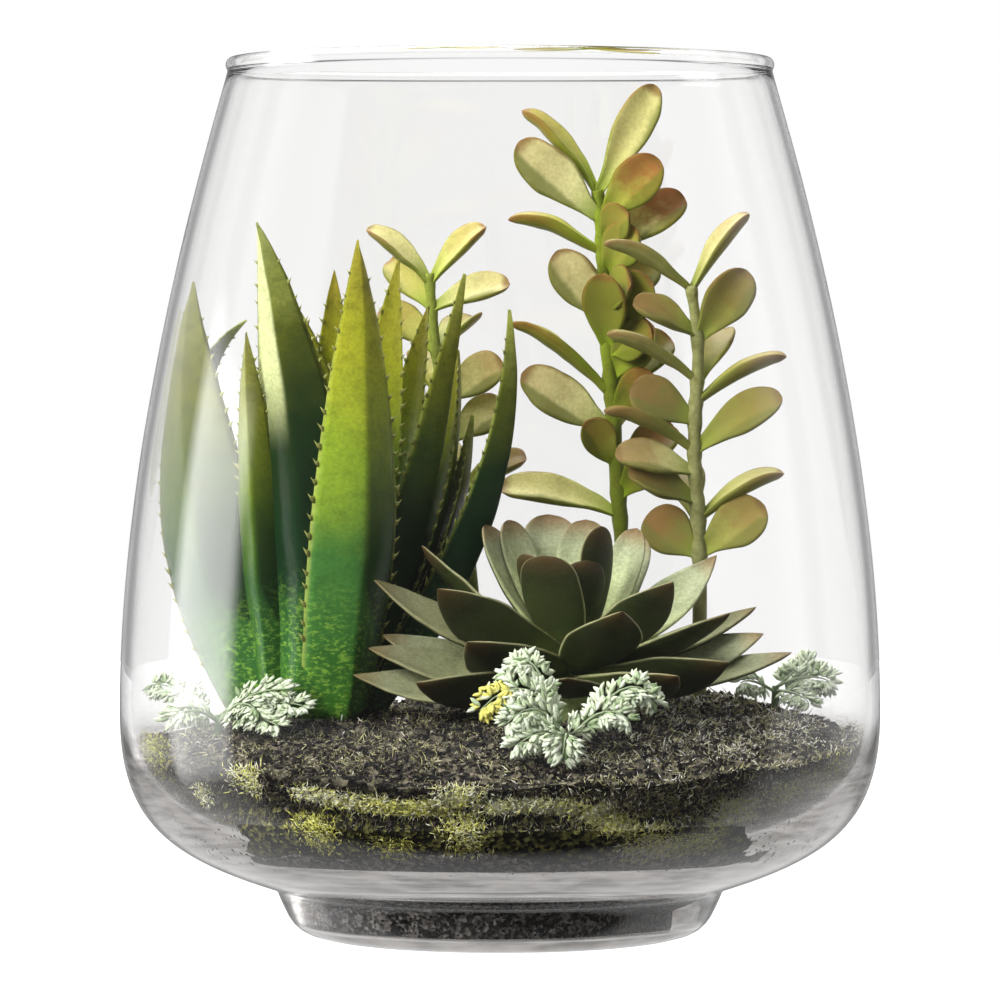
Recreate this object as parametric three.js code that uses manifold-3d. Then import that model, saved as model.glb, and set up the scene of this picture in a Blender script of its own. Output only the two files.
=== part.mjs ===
// A glass jar planted with an aloe, three jade stems, a rosette and three lace sprays.
// Millimetres, +Z up. The origin is the centre of the foot's underside, and the front faces -Y.

import * as THREE from 'three';
import { mergeVertices } from 'three/addons/utils/BufferGeometryUtils.js';
import Module from 'manifold-3d';

const wasm = await Module();
wasm.setup();

// Points closer than this are one point, and edges shorter than this are closed up after a join
const SAME_POINT = 1e-4;
const SLIVER = 0.02;

// Jar
const JAR_SEGMENTS = 36;
const FOOT_RADIUS = 50;
const FOOT_EDGE = 57.5;
const FOOT_TOP = [61.5, 12.8];
const BELLY_RADIUS = 104.2;
const BELLY_HEIGHT = 61;
const NECK = [74.6, 235.5];
const RIM_CENTRE = [72.9, 237.9];
const RIM_BEAD = 2.1;
const WALL = 3;
const NECK_WALL = 2.8;
const FLOOR_HEIGHT = 5;

// Soil and moss
const SOIL_CLEARANCE = 0.6;
const LAYER_GAP = 0.3;
const SOIL_SECTORS = 36;
const RING_SHARES = [0.3, 0.6, 0.85];
const BED = 98;
const FOOT_SOIL_TOP = 28;
const SLUMP = 15;
const SLUMP_HEIGHTS = [13, 22];

// Plants: where each grows, and the round peg below it that stands in a hole in the soil
const PEG_FOOT = 49;
const PEG_TOP = 66;
const HOLE_DEPTH = 40;
const HOLE_CLEARANCE = 0.5;
const HOLE_SIDES = 12;
const AXIL = { aloe: [-47, -4], tall: [36, 22], right: [55, 8], back: [-6, 36], rosette: [19, -24] };
const SPRAY_FOOT = { front: [17, -76], left: [-76, -20], right: [76, 5] };
const PEG = { aloe: 8, tall: 2.6, right: 2.6, back: 2.4, rosette: 5.5, spray: 1.4 };

function point([x, y, z]) {
  return new THREE.Vector3(x, y, z);
}

// A closed geometry from points and triangles, turned so that its faces point outwards
function closedGeometry(points, faces) {
  let volume = 0;
  for (const [a, b, c] of faces) {
    volume += points[a].dot(points[b].clone().cross(points[c]));
  }
  const turned = volume < 0 ? faces.map(([a, b, c]) => [a, c, b]) : faces;
  const geometry = new THREE.BufferGeometry();
  const position = new THREE.Float32BufferAttribute(points.flatMap((p) => [p.x, p.y, p.z]), 3);
  geometry.setAttribute('position', position);
  geometry.setIndex(turned.flat());
  return geometry;
}

function toSolid(geometry) {
  const bare = geometry.clone();
  bare.deleteAttribute('normal');
  bare.deleteAttribute('uv');
  const merged = mergeVertices(bare, SAME_POINT);
  const mesh = new wasm.Mesh({
    numProp: 3,
    vertProperties: Float32Array.from(merged.attributes.position.array),
    triVerts: Uint32Array.from(merged.index.array),
  });
  return new wasm.Manifold(mesh);
}

function fromSolid(solid) {
  const mesh = solid.getMesh();
  const geometry = new THREE.BufferGeometry();
  geometry.setAttribute('position', new THREE.BufferAttribute(mesh.vertProperties, 3));
  geometry.setIndex(new THREE.BufferAttribute(mesh.triVerts, 1));
  return geometry;
}

// Joins closed geometries in one body. A hollow that the join seals is filled.
function joined(geometries) {
  const whole = geometries.map(toSolid).reduce((grown, next) => grown.add(next));
  const bodies = whole.decompose().sort((a, b) => b.volume() - a.volume());
  return fromSolid(bodies[0].simplify(SLIVER));
}

function smoothstep(low, high, value) {
  const share = Math.min(1, Math.max(0, (value - low) / (high - low)));
  return share * share * (3 - 2 * share);
}

// Points along a cubic curve in (radius, height), without its first point
function cubicPoints(start, pull, push, end, count) {
  const curve = new THREE.CubicBezierCurve(...[start, pull, push, end].map((p) => new THREE.Vector2(...p)));
  return curve.getPoints(count).slice(1);
}

function jarInside() {
  const side = BELLY_RADIUS - WALL;
  return [
    new THREE.Vector2(0, FLOOR_HEIGHT),
    new THREE.Vector2(42, FLOOR_HEIGHT),
    new THREE.Vector2(49, 6),
    new THREE.Vector2(54, 9.5),
    new THREE.Vector2(56, 17),
    new THREE.Vector2(59, 21.5),
    ...cubicPoints([59, 21.5], [86, 27], [side, 38], [side, BELLY_HEIGHT + 1], 6),
    ...cubicPoints([side, BELLY_HEIGHT + 1], [side, 121], [86.3, 186], [NECK[0] - NECK_WALL, NECK[1]], 6),
  ];
}

function jarOutside() {
  return [
    new THREE.Vector2(0, 0),
    new THREE.Vector2(FOOT_RADIUS, 0),
    new THREE.Vector2(54.5, 1.2),
    new THREE.Vector2(FOOT_EDGE, 4),
    new THREE.Vector2(60, 9),
    new THREE.Vector2(...FOOT_TOP),
    ...cubicPoints(FOOT_TOP, [91, 22.1], [BELLY_RADIUS, 31], [BELLY_RADIUS, BELLY_HEIGHT], 7),
    ...cubicPoints([BELLY_RADIUS, BELLY_HEIGHT], [BELLY_RADIUS, 121], [89.1, 186], NECK, 7),
  ];
}

function rimBead() {
  const bead = [];
  for (let degrees = -40; degrees <= 220; degrees += 65) {
    const angle = THREE.MathUtils.degToRad(degrees);
    bead.push(new THREE.Vector2(
      RIM_CENTRE[0] + RIM_BEAD * Math.cos(angle),
      RIM_CENTRE[1] + RIM_BEAD * Math.sin(angle),
    ));
  }
  return bead;
}

function glassJar() {
  const profile = [...jarOutside(), ...rimBead(), ...jarInside().reverse()];
  const lathe = new THREE.LatheGeometry(profile, JAR_SEGMENTS);
  lathe.rotateX(Math.PI / 2);
  return fromSolid(toSolid(lathe));
}

// The jar's inner profile moved inwards by the soil's clearance, square to the glass
function soilWall() {
  const inside = jarInside();
  return inside.slice(1, -1).map((place, i) => {
    const along = inside[i + 2].clone().sub(inside[i]).normalize();
    return new THREE.Vector2(place.x - SOIL_CLEARANCE * along.y, place.y + SOIL_CLEARANCE * along.x);
  });
}

const SOIL_WALL = soilWall();
const SOIL_FLOOR = SOIL_WALL[0].y;

// How far the soil reaches to the glass at a height
function wallReach(height) {
  for (let i = 1; i < SOIL_WALL.length; i += 1) {
    if (height <= SOIL_WALL[i].y) {
      const share = (height - SOIL_WALL[i - 1].y) / (SOIL_WALL[i].y - SOIL_WALL[i - 1].y);
      return THREE.MathUtils.lerp(SOIL_WALL[i - 1].x, SOIL_WALL[i].x, share);
    }
  }
  return SOIL_WALL.at(-1).x;
}

function ripple(x, y, turn) {
  return Math.sin(0.11 * x + 0.07 * y + turn) + 0.6 * Math.sin(0.19 * x - 0.16 * y + 2 * turn);
}

// Highest in the middle, lower towards the glass and the front, with a hump at the right
function soilTop(x, y) {
  const out = Math.hypot(x, y) / BED;
  const front = Math.max(0, -y) / BED;
  const left = Math.max(0, -x) / BED;
  const hump = 6 * Math.exp(-((x - 62) ** 2 + (y + 5) ** 2) / 900);
  return 61 - 7 * out ** 2 - 5 * front ** 2 - 2 * left ** 2 + hump + 0.5 * ripple(x, y, 0.4);
}

function mossTop(x, y) {
  const out = Math.hypot(x, y) / BED;
  return 42 + 2.5 * out ** 2 + 1.3 * ripple(x, y, 1.9);
}

function mossFoot(x, y) {
  return 31.5 + 1.1 * ripple(x, y, 3.1);
}

function potFoot() {
  return SOIL_FLOOR - LAYER_GAP / 2;
}

// The heights of the glass's bends that the foot's soil follows
const FOOT_BENDS = SOIL_WALL.map((place) => place.y)
  .filter((height) => height > SOIL_FLOOR && height < FOOT_SOIL_TOP);

// The rim of a surface in the jar: how far out it reaches, at one bearing
function reachAt(surface, bearing) {
  let reach = BED;
  for (let pass = 0; pass < 4; pass += 1) {
    const height = surface(reach * Math.cos(bearing), reach * Math.sin(bearing));
    reach = wallReach(height);
  }
  return reach;
}

// The foot's soil stands back from the glass at the right, where it has slumped
function slump(bearing, height) {
  const facing = Math.max(0, Math.cos(bearing + 0.35)) ** 6;
  return SLUMP * facing * (1 - smoothstep(...SLUMP_HEIGHTS, height));
}

// One layer that fills the jar from wall to wall, between two surfaces. Its side has a ring at each
// height of the glass's own bends up to knots, and then wallSteps more.
function layer(below, above, knots, wallSteps) {
  const start = new THREE.Vector3(0, 0, below(0, 0) + LAYER_GAP / 2);
  const end = new THREE.Vector3(0, 0, above(0, 0) - LAYER_GAP / 2);
  const rings = [];
  const bearings = Array.from({ length: SOIL_SECTORS }, (_, i) => (i / SOIL_SECTORS) * 2 * Math.PI);
  const flat = (surface, share, lift) => bearings.map((bearing) => {
    const reach = share * reachAt(surface, bearing);
    const x = reach * Math.cos(bearing);
    const y = reach * Math.sin(bearing);
    return new THREE.Vector3(x, y, surface(x, y) + lift);
  });
  for (const share of RING_SHARES) {
    rings.push(flat(below, share, LAYER_GAP / 2));
  }
  const low = flat(below, 1, LAYER_GAP / 2);
  const high = flat(above, 1, -LAYER_GAP / 2);
  const wallRing = (heightOf) => bearings.map((bearing, i) => {
    const height = heightOf(i);
    const reach = wallReach(height) - slump(bearing, height);
    return new THREE.Vector3(reach * Math.cos(bearing), reach * Math.sin(bearing), height);
  });
  for (const knot of knots) {
    rings.push(wallRing(() => knot));
  }
  const from = (i) => knots.at(-1) ?? low[i].z;
  for (let step = knots.length ? 1 : 0; step <= wallSteps; step += 1) {
    rings.push(wallRing((i) => THREE.MathUtils.lerp(from(i), high[i].z, step / wallSteps)));
  }
  const topRing = rings.length - 1;
  for (const share of RING_SHARES.toReversed()) {
    rings.push(flat(above, share, -LAYER_GAP / 2));
  }
  return skin(rings, start, end, topRing);
}

// A closed skin over rings of points, with a point at each end. From the ring turnAt on, the faces are
// split the other way, so that the top of one layer and the underside of the next are alike.
function skin(rings, start, end, turnAt = Infinity) {
  const sides = rings[0].length;
  const points = [start, ...rings.flat(), end];
  const last = points.length - 1;
  const at = (ring, side) => 1 + ring * sides + (side % sides);
  const faces = [];
  for (let side = 0; side < sides; side += 1) {
    faces.push([0, at(0, side + 1), at(0, side)]);
    faces.push([last, at(rings.length - 1, side), at(rings.length - 1, side + 1)]);
    for (let ring = 0; ring + 1 < rings.length; ring += 1) {
      const [a, b] = [at(ring, side), at(ring, side + 1)];
      const [c, d] = [at(ring + 1, side + 1), at(ring + 1, side)];
      faces.push(...(ring < turnAt ? [[a, b, c], [a, c, d]] : [[a, b, d], [b, c, d]]));
    }
  }
  return closedGeometry(points, faces);
}

// The curve from root to tip that passes through the belly at its middle
function bentLine(root, belly, tip) {
  const control = belly.clone().multiplyScalar(2).sub(root.clone().add(tip).multiplyScalar(0.5));
  return new THREE.QuadraticBezierCurve3(root, control, tip);
}

// A blade along a bent line. Its section's corners are (across, through) pairs, in half widths and
// half thicknesses, and its edges are raised by cup. Each station is [share of the length, extra width].
function blade({ root, belly, tip, face, wide, thick, cup, width, depth, section, stations }) {
  const line = bentLine(root, belly, tip);
  const rings = stations.map(([share, extra]) => {
    const centre = line.getPoint(share);
    const side = line.getTangent(share).cross(face).normalize();
    const out = side.clone().cross(line.getTangent(share)).normalize();
    return section.map(([across, through]) => {
      const sideways = across * (0.5 * wide * width(share) + extra);
      const raised = cup * across ** 2 * width(share) + 0.5 * thick * through * depth(share);
      return centre.clone().addScaledVector(side, sideways).addScaledVector(out, raised);
    });
  });
  return skin(rings, root, tip);
}

// A round tapering tube through hand-placed points
function tube(places, radius, tipRadius, sides, steps) {
  const line = new THREE.CatmullRomCurve3(places.map(point));
  const rings = [];
  for (let step = 0; step <= steps; step += 1) {
    const share = step / steps;
    const centre = line.getPoint(share);
    const along = line.getTangent(share);
    const side = along.clone().cross(new THREE.Vector3(0, 1, 0)).normalize();
    const out = side.clone().cross(along);
    const size = THREE.MathUtils.lerp(radius, tipRadius, share);
    rings.push(Array.from({ length: sides }, (_, i) => {
      const angle = (i / sides) * 2 * Math.PI;
      return centre.clone()
        .addScaledVector(side, size * Math.cos(angle))
        .addScaledVector(out, size * Math.sin(angle));
    }));
  }
  return skin(rings, line.getPoint(0), line.getPoint(1));
}

function peg([x, y], radius, top, sides) {
  const cylinder = new THREE.CylinderGeometry(radius, radius, top - PEG_FOOT, sides);
  cylinder.rotateX(Math.PI / 2);
  cylinder.translate(x, y, (top + PEG_FOOT) / 2);
  return cylinder;
}

// A plain hole in the soil for each peg
function soilMound() {
  const stems = Object.entries(AXIL).map(([name, at]) => [at, PEG[name]]);
  const sprays = Object.values(SPRAY_FOOT).map((at) => [at, PEG.spray]);
  let mound = toSolid(layer(mossTop, soilTop, [], 3));
  for (const [at, radius] of [...stems, ...sprays]) {
    const wide = radius + HOLE_CLEARANCE;
    const hole = new THREE.CylinderGeometry(wide, wide, HOLE_DEPTH, HOLE_SIDES);
    hole.rotateX(Math.PI / 2);
    hole.translate(at[0], at[1], PEG_FOOT - LAYER_GAP + HOLE_DEPTH / 2);
    mound = mound.subtract(toSolid(hole));
  }
  return fromSolid(mound);
}

// Aloe: a keeled section, toothed edges, widest at a quarter of the length
const ALOE_SECTION = [[-1, 0], [0, 0.35], [1, 0], [0, -1]];
const ALOE_THICK = 7;
const ALOE_CUP = 2.5;
const ALOE_ROOT = 64;
const ALOE_CROWN = 4;
const TOOTH = 1.9;
const TOOTH_POINT = 1.6;
const TOOTH_END = 2.2;
const TOOTH_PITCH = 14;
const FIRST_TOOTH = 0.2;
const LAST_TOOTH = 0.93;
const ALOE_LEAVES = [
  { tip: [-39, -15, 190], belly: [-39, -27, 122], wide: 24, turn: -80 },
  { tip: [-66, -8, 195], belly: [-55, -19, 124], wide: 24, turn: -96 },
  { tip: [-60, 9, 178], belly: [-47, 7, 122], wide: 18, turn: 120 },
  { tip: [-82, 0, 179], belly: [-81, -3, 112], wide: 26, turn: -122 },
  { tip: [-71, 28, 168], belly: [-80, 21, 126], wide: 12, turn: 150 },
  { tip: [-68, -20, 165], belly: [-63, -22, 112], wide: 13, turn: -110 },
  { tip: [-46, 11, 182], belly: [-45, 9, 122], wide: 15, turn: 85 },
  { tip: [-28, 11, 185], belly: [-35, 9, 124], wide: 15, turn: 60 },
  { tip: [-22, 21, 175], belly: [-33, 18, 120], wide: 14, turn: 50 },
  { tip: [-10, 4, 181], belly: [-21, 1, 124], wide: 15, turn: -20 },
  { tip: [-13, 12, 148], belly: [-23, 9, 108], wide: 13, turn: 30 },
  { tip: [2, -3, 171], belly: [-4, -1, 116], wide: 13, turn: -30 },
];

function aloeWidth(share) {
  return share < 0.25
    ? 0.55 + 0.45 * Math.sin((Math.PI / 2) * (share / 0.25))
    : 1 - ((share - 0.25) / 0.75) ** 2;
}

function aloeDepth(share) {
  return 1 - 0.85 * share;
}

// Smooth stretches between teeth, and three stations for each tooth, whose point leans to the tip
function aloeStations(length) {
  const stations = [[0.03, 0]];
  const toothed = LAST_TOOTH - FIRST_TOOTH;
  const teeth = Math.round((toothed * length) / TOOTH_PITCH);
  for (let tooth = 0; tooth < teeth; tooth += 1) {
    const share = FIRST_TOOTH + (toothed * tooth) / teeth;
    stations.push([share, 0], [share + TOOTH_POINT / length, TOOTH], [share + TOOTH_END / length, 0]);
  }
  stations.push([0.97, 0]);
  return stations;
}

function aloe() {
  const [x, y] = AXIL.aloe;
  const leaves = ALOE_LEAVES.map(({ tip, belly, wide, turn }) => {
    const angle = THREE.MathUtils.degToRad(turn);
    const outward = new THREE.Vector3(Math.cos(angle), Math.sin(angle), 0);
    const root = new THREE.Vector3(x, y, ALOE_ROOT).addScaledVector(outward, ALOE_CROWN);
    return blade({
      root,
      belly: point(belly),
      tip: point(tip),
      face: outward.clone().negate(),
      wide,
      thick: ALOE_THICK,
      cup: ALOE_CUP,
      width: aloeWidth,
      depth: aloeDepth,
      section: ALOE_SECTION,
      stations: aloeStations(root.distanceTo(point(tip))),
    });
  });
  return joined([peg(AXIL.aloe, PEG.aloe, ALOE_ROOT + ALOE_CROWN, 12), ...leaves]);
}

// Fleshy leaves: six-sided sections
const FLESHY_SECTION = [[-1, 0], [-0.55, 0.85], [0.55, 0.85], [1, 0], [0.55, -0.85], [-0.55, -0.85]];
const JADE_STATIONS = [[0.08, 0], [0.38, 0], [0.7, 0], [0.93, 0]];
const JADE_THICK = 3.6;
const JADE_CUP = 0.6;
const JADE_SAG = 0.08;
const STEM_TAPER = 0.6;
const ROSETTE_STATIONS = [[0.05, 0], [0.32, 0], [0.62, 0], [0.86, 0]];

function jadeWidth(share) {
  const body = Math.sin(Math.PI * share ** 1.45) ** 0.62;
  return Math.max(0.24, body);
}

function jadeDepth(share) {
  return 0.45 + 0.55 * Math.sin(Math.PI * share);
}

// Each row is a leaf: the height where it grows, its reach [right, back, up] from there,
// its breadth, and how far its face is turned from the sky to the front, in degrees
const TALL_STEM = [[36, 22, 52], [36, 22, 68], [33, 21, 120], [30, 20, 160], [28, 19, 196], [27, 18, 207]];
const TALL_LEAVES = [
  { rise: 203, reach: [16, -1, 30], wide: 11, turn: 60 },
  { rise: 203, reach: [-21, 4, 23], wide: 11, turn: 35 },
  { rise: 196, reach: [-23, -6, 21], wide: 14, turn: 70 },
  { rise: 196, reach: [16, -8, 16], wide: 13, turn: 65 },
  { rise: 186, reach: [23, 3, 16], wide: 12, turn: 65 },
  { rise: 186, reach: [-26, 2, 10], wide: 10, turn: 35 },
  { rise: 172, reach: [-16, -7, 11], wide: 13, turn: 80 },
  { rise: 172, reach: [14, 9, 12], wide: 12, turn: 55 },
  { rise: 160, reach: [-3, -12, 20], wide: 12, turn: 85 },
  { rise: 160, reach: [6, 16, 14], wide: 12, turn: -40 },
  { rise: 147, reach: [-28, -3, 20], wide: 10, turn: 45 },
  { rise: 147, reach: [17, 10, 16], wide: 12, turn: 50 },
  { rise: 137, reach: [-26, -5, 16], wide: 13, turn: 60 },
  { rise: 137, reach: [4, 17, 15], wide: 12, turn: -35 },
  { rise: 122, reach: [16, 12, 16], wide: 12, turn: 40 },
  { rise: 114, reach: [-34, -2, 7], wide: 11, turn: 55 },
];
const RIGHT_STEM = [[55, 8, 52], [55, 8, 68], [55, 6, 104], [53.5, 5, 133], [54.5, 5, 160], [52.5, 4, 180]];
const RIGHT_LEAVES = [
  { rise: 176, reach: [16, 1, 21], wide: 9, turn: 45 },
  { rise: 176, reach: [-24, -5, 13], wide: 9, turn: 35 },
  { rise: 163, reach: [13, -6, 19], wide: 13, turn: 85 },
  { rise: 163, reach: [-20, -6, 11], wide: 11, turn: 60 },
  { rise: 151, reach: [-25, -6, 13], wide: 10, turn: 45 },
  { rise: 151, reach: [8, 14, 15], wide: 12, turn: -30 },
  { rise: 145, reach: [25, -1, 13], wide: 10, turn: 45 },
  { rise: 145, reach: [-15, -12, 8], wide: 12, turn: 75 },
  { rise: 132, reach: [24, -4, 15], wide: 12, turn: 60 },
  { rise: 132, reach: [-25, -7, 11], wide: 11, turn: 50 },
  { rise: 122, reach: [-25, -7, 9], wide: 11, turn: 45 },
  { rise: 122, reach: [3, -13, 10], wide: 11, turn: 85 },
  { rise: 113, reach: [24, 0, 13], wide: 10, turn: 45 },
  { rise: 113, reach: [-4, 15, 13], wide: 11, turn: -30 },
  { rise: 104, reach: [-14, 2, 11], wide: 14, turn: 80 },
  { rise: 104, reach: [18, -3, 13], wide: 13, turn: 65 },
];
const BACK_STEM = [[-6, 36, 52], [-6, 36, 68], [-9, 36, 104], [-14, 36, 132], [-18, 35, 160], [-20, 35, 181]];
const BACK_LEAVES = [
  { rise: 178, reach: [-18, -1, 15], wide: 9, turn: 45 },
  { rise: 178, reach: [16, 0, 16], wide: 9, turn: 40 },
  { rise: 171, reach: [22, -2, 7], wide: 10, turn: 55 },
  { rise: 171, reach: [-12, 12, 14], wide: 11, turn: 50 },
  { rise: 159, reach: [11, 15, 10], wide: 11, turn: -30 },
  { rise: 159, reach: [-16, 6, 12], wide: 11, turn: 50 },
  { rise: 145, reach: [17, -3, 11], wide: 12, turn: 60 },
  { rise: 145, reach: [-8, 14, 14], wide: 11, turn: -30 },
  { rise: 134, reach: [16, 0, 10], wide: 12, turn: 60 },
  { rise: 134, reach: [-17, 3, 12], wide: 11, turn: 50 },
  { rise: 119, reach: [19, -3, 10], wide: 11, turn: 60 },
  { rise: 119, reach: [-6, 14, 14], wide: 11, turn: -30 },
];

function jadeStem(stem, leaves, radius) {
  const line = new THREE.CatmullRomCurve3(stem.map(point));
  const samples = line.getPoints(60);
  const blades = leaves.map(({ rise, reach, wide, turn }) => {
    const root = samples.find((sample) => sample.z >= rise) ?? samples.at(-1);
    const tip = root.clone().add(point(reach));
    const sag = JADE_SAG * root.distanceTo(tip);
    const belly = root.clone().add(tip).multiplyScalar(0.5).sub(new THREE.Vector3(0, 0, sag));
    const angle = THREE.MathUtils.degToRad(turn);
    return blade({
      root,
      belly,
      tip,
      face: new THREE.Vector3(0, -Math.sin(angle), Math.cos(angle)),
      wide,
      thick: JADE_THICK,
      cup: JADE_CUP,
      width: jadeWidth,
      depth: jadeDepth,
      section: FLESHY_SECTION,
      stations: JADE_STATIONS,
    });
  });
  const stalk = tube(stem, radius, STEM_TAPER * radius, 6, 8);
  return joined([stalk, peg(stem[0], radius, PEG_TOP, 8), ...blades]);
}

// Rosette: spoon-shaped pointed leaves round a short stem. A leaf's lean turns its underside to the front.
const ROSETTE_TOP = 84;
const ROSETTE_CROWN = 2;
const ROSETTE_THICK = 3.4;
const ROSETTE_CUP = 1.6;
const ROSETTE_SAG = 0.07;
const ROSETTE_LEAVES = [
  { turn: 190, lift: 26, length: 56, wide: 17, rise: 75, lean: 0.8 },
  { turn: 178, lift: 16, length: 48, wide: 15, rise: 73, lean: 0.4 },
  { turn: 196, lift: 8, length: 53, wide: 17, rise: 73, lean: 0.5 },
  { turn: 190, lift: 1, length: 57, wide: 16, rise: 71, lean: 0.45 },
  { turn: 164, lift: 31, length: 46, wide: 15, rise: 78, lean: 0.6 },
  { turn: 150, lift: 55, length: 43, wide: 13, rise: 79, lean: -0.9 },
  { turn: 105, lift: 54, length: 46, wide: 18, rise: 79, lean: 0 },
  { turn: 250, lift: 42, length: 36, wide: 17, rise: 80, lean: 0 },
  { turn: 218, lift: 24, length: 48, wide: 20, rise: 76, lean: 1.4 },
  { turn: 268, lift: 20, length: 46, wide: 21, rise: 73, lean: 0 },
  { turn: 240, lift: 3, length: 45, wide: 18, rise: 71, lean: 1 },
  { turn: 75, lift: 60, length: 41, wide: 15, rise: 79, lean: 0 },
  { turn: 42, lift: 55, length: 38, wide: 15, rise: 79, lean: -1.2 },
  { turn: 18, lift: 54, length: 38, wide: 14, rise: 79, lean: 0.8 },
  { turn: 8, lift: 37, length: 46, wide: 16, rise: 77, lean: -0.7 },
  { turn: 316, lift: 31, length: 40, wide: 18, rise: 76, lean: 1.2 },
  { turn: 357, lift: 20, length: 50, wide: 17, rise: 74, lean: 0.8 },
  { turn: 12, lift: 15, length: 50, wide: 16, rise: 73, lean: -0.5 },
  { turn: 350, lift: 8, length: 58, wide: 16, rise: 71, lean: 0.5 },
  { turn: 295, lift: 14, length: 44, wide: 19, rise: 73, lean: 0.8 },
  { turn: 328, lift: 4, length: 50, wide: 18, rise: 71, lean: 0.9 },
  { turn: 55, lift: 20, length: 37, wide: 15, rise: 73, lean: 0 },
  { turn: 92, lift: 22, length: 36, wide: 15, rise: 73, lean: 0 },
  { turn: 125, lift: 18, length: 40, wide: 15, rise: 73, lean: 0 },
  { turn: 150, lift: 10, length: 42, wide: 15, rise: 72, lean: 0 },
  { turn: 290, lift: 62, length: 26, wide: 13, rise: 82, lean: 0 },
  { turn: 200, lift: 62, length: 26, wide: 13, rise: 82, lean: 0.4 },
  { turn: 30, lift: 74, length: 24, wide: 11, rise: 83, lean: 0 },
];

function rosetteWidth(share) {
  const swell = 0.42 + 0.58 * Math.sin((Math.PI / 2) * Math.min(1, share / 0.62));
  const close = share < 0.62 ? 1 : (1 - ((share - 0.62) / 0.38) ** 2.2) ** 0.8;
  return swell * close;
}

function rosetteDepth(share) {
  return 1 - 0.6 * share ** 2;
}

function rosette() {
  const [x, y] = AXIL.rosette;
  const leaves = ROSETTE_LEAVES.map(({ turn, lift, length, wide, rise, lean }) => {
    const bearing = THREE.MathUtils.degToRad(turn);
    const climb = THREE.MathUtils.degToRad(lift);
    const outward = new THREE.Vector3(Math.cos(bearing), Math.sin(bearing), 0);
    const along = outward.clone().multiplyScalar(Math.cos(climb)).setZ(Math.sin(climb));
    const above = outward.clone().multiplyScalar(-Math.sin(climb)).setZ(Math.cos(climb));
    const root = new THREE.Vector3(x, y, rise).addScaledVector(outward, ROSETTE_CROWN);
    const tip = root.clone().addScaledVector(along, length);
    const sag = ROSETTE_SAG * length;
    const belly = root.clone().add(tip).multiplyScalar(0.5).addScaledVector(above, -sag);
    return blade({
      root,
      belly,
      tip,
      face: above.clone().add(new THREE.Vector3(0, lean, 0)),
      wide,
      thick: ROSETTE_THICK,
      cup: ROSETTE_CUP,
      width: rosetteWidth,
      depth: rosetteDepth,
      section: FLESHY_SECTION,
      stations: ROSETTE_STATIONS,
    });
  });
  return joined([peg(AXIL.rosette, PEG.rosette, ROSETTE_TOP, 10), ...leaves]);
}

// Lace sprays: thin fronds whose lobes are cut to the rib
const SPRAY_STALK = 6;
const FROND_STEP = 0.45;
const FROND_THICK = 0.8;
const RIB = 0.55;
const DROOP = 0.03;
const LOBES = 5;
const SPRAYS = {
  front: [
    { tip: [-5, -78, 67], belly: [7, -76, 72], wide: 10, turn: 55 },
    { tip: [2, -82, 64], belly: [10, -79, 67], wide: 8, turn: 60 },
    { tip: [4, -85, 58], belly: [11, -81, 61], wide: 8, turn: 65 },
    { tip: [16, -87, 55], belly: [17, -84, 62], wide: 9, turn: 70 },
    { tip: [40, -76, 69], belly: [30, -77, 69], wide: 9, turn: 55 },
    { tip: [32, -82, 64], belly: [25, -80, 65], wide: 7, turn: 60 },
    { tip: [1, -72, 75], belly: [9, -72, 77], wide: 5, turn: 40 },
  ],
  left: [
    { tip: [-58, -30, 69], belly: [-67, -25, 67], wide: 9, turn: 45 },
    { tip: [-53, -34, 65], belly: [-64, -28, 65], wide: 9, turn: 40 },
    { tip: [-59, -41, 60], belly: [-67, -32, 62], wide: 8, turn: 50 },
    { tip: [-94, -10, 69], belly: [-86, -15, 67], wide: 9, turn: 50 },
    { tip: [-88, -30, 61], belly: [-82, -26, 63], wide: 8, turn: 50 },
  ],
  right: [
    { tip: [91, 3, 69], belly: [84, 4, 70], wide: 9, turn: 50 },
    { tip: [86, 8, 74], belly: [81, 7, 71], wide: 8, turn: 45 },
    { tip: [84, -11, 64], belly: [81, -4, 66], wide: 7, turn: 50 },
    { tip: [66, -3, 69], belly: [70, 0, 69], wide: 8, turn: 50 },
  ],
};

// One frond's outline in (along, across), lobe by lobe up one side and down the other
function frondOutline(length, wide) {
  const pitch = (0.86 * length) / LOBES;
  const edge = [];
  for (let lobe = 0; lobe < LOBES; lobe += 1) {
    const start = 0.1 * length + lobe * pitch;
    const reach = 0.5 * wide * Math.sin(Math.PI * (0.16 + (0.76 * (lobe + 0.5)) / LOBES)) ** 0.7;
    edge.push([start, RIB], [start + 0.8 * pitch, reach]);
  }
  const outline = [[0, -RIB], [0, RIB], ...edge, [length, 0]];
  for (const [along, across] of edge.reverse()) {
    outline.push([along, -across]);
  }
  return new THREE.Shape(outline.map(([along, across]) => new THREE.Vector2(along, across)));
}

function frond(root, { tip, belly, wide, turn }) {
  const line = bentLine(root, point(belly), point(tip));
  const length = line.getLength();
  const angle = THREE.MathUtils.degToRad(turn);
  const face = new THREE.Vector3(0, -Math.sin(angle), Math.cos(angle));
  const plate = new THREE.ExtrudeGeometry(frondOutline(length, wide), {
    depth: FROND_THICK,
    bevelEnabled: false,
    steps: 1,
  });
  const places = plate.attributes.position;
  for (let i = 0; i < places.count; i += 1) {
    const share = places.getX(i) / length;
    const along = line.getTangent(share);
    const side = along.clone().cross(face).normalize();
    const out = side.clone().cross(along).normalize();
    const droop = -DROOP * places.getY(i) ** 2;
    const spot = line.getPoint(share)
      .addScaledVector(side, -places.getY(i))
      .addScaledVector(out, places.getZ(i) - FROND_THICK / 2 + droop);
    places.setXYZ(i, spot.x, spot.y, spot.z);
  }
  return plate;
}

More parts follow.
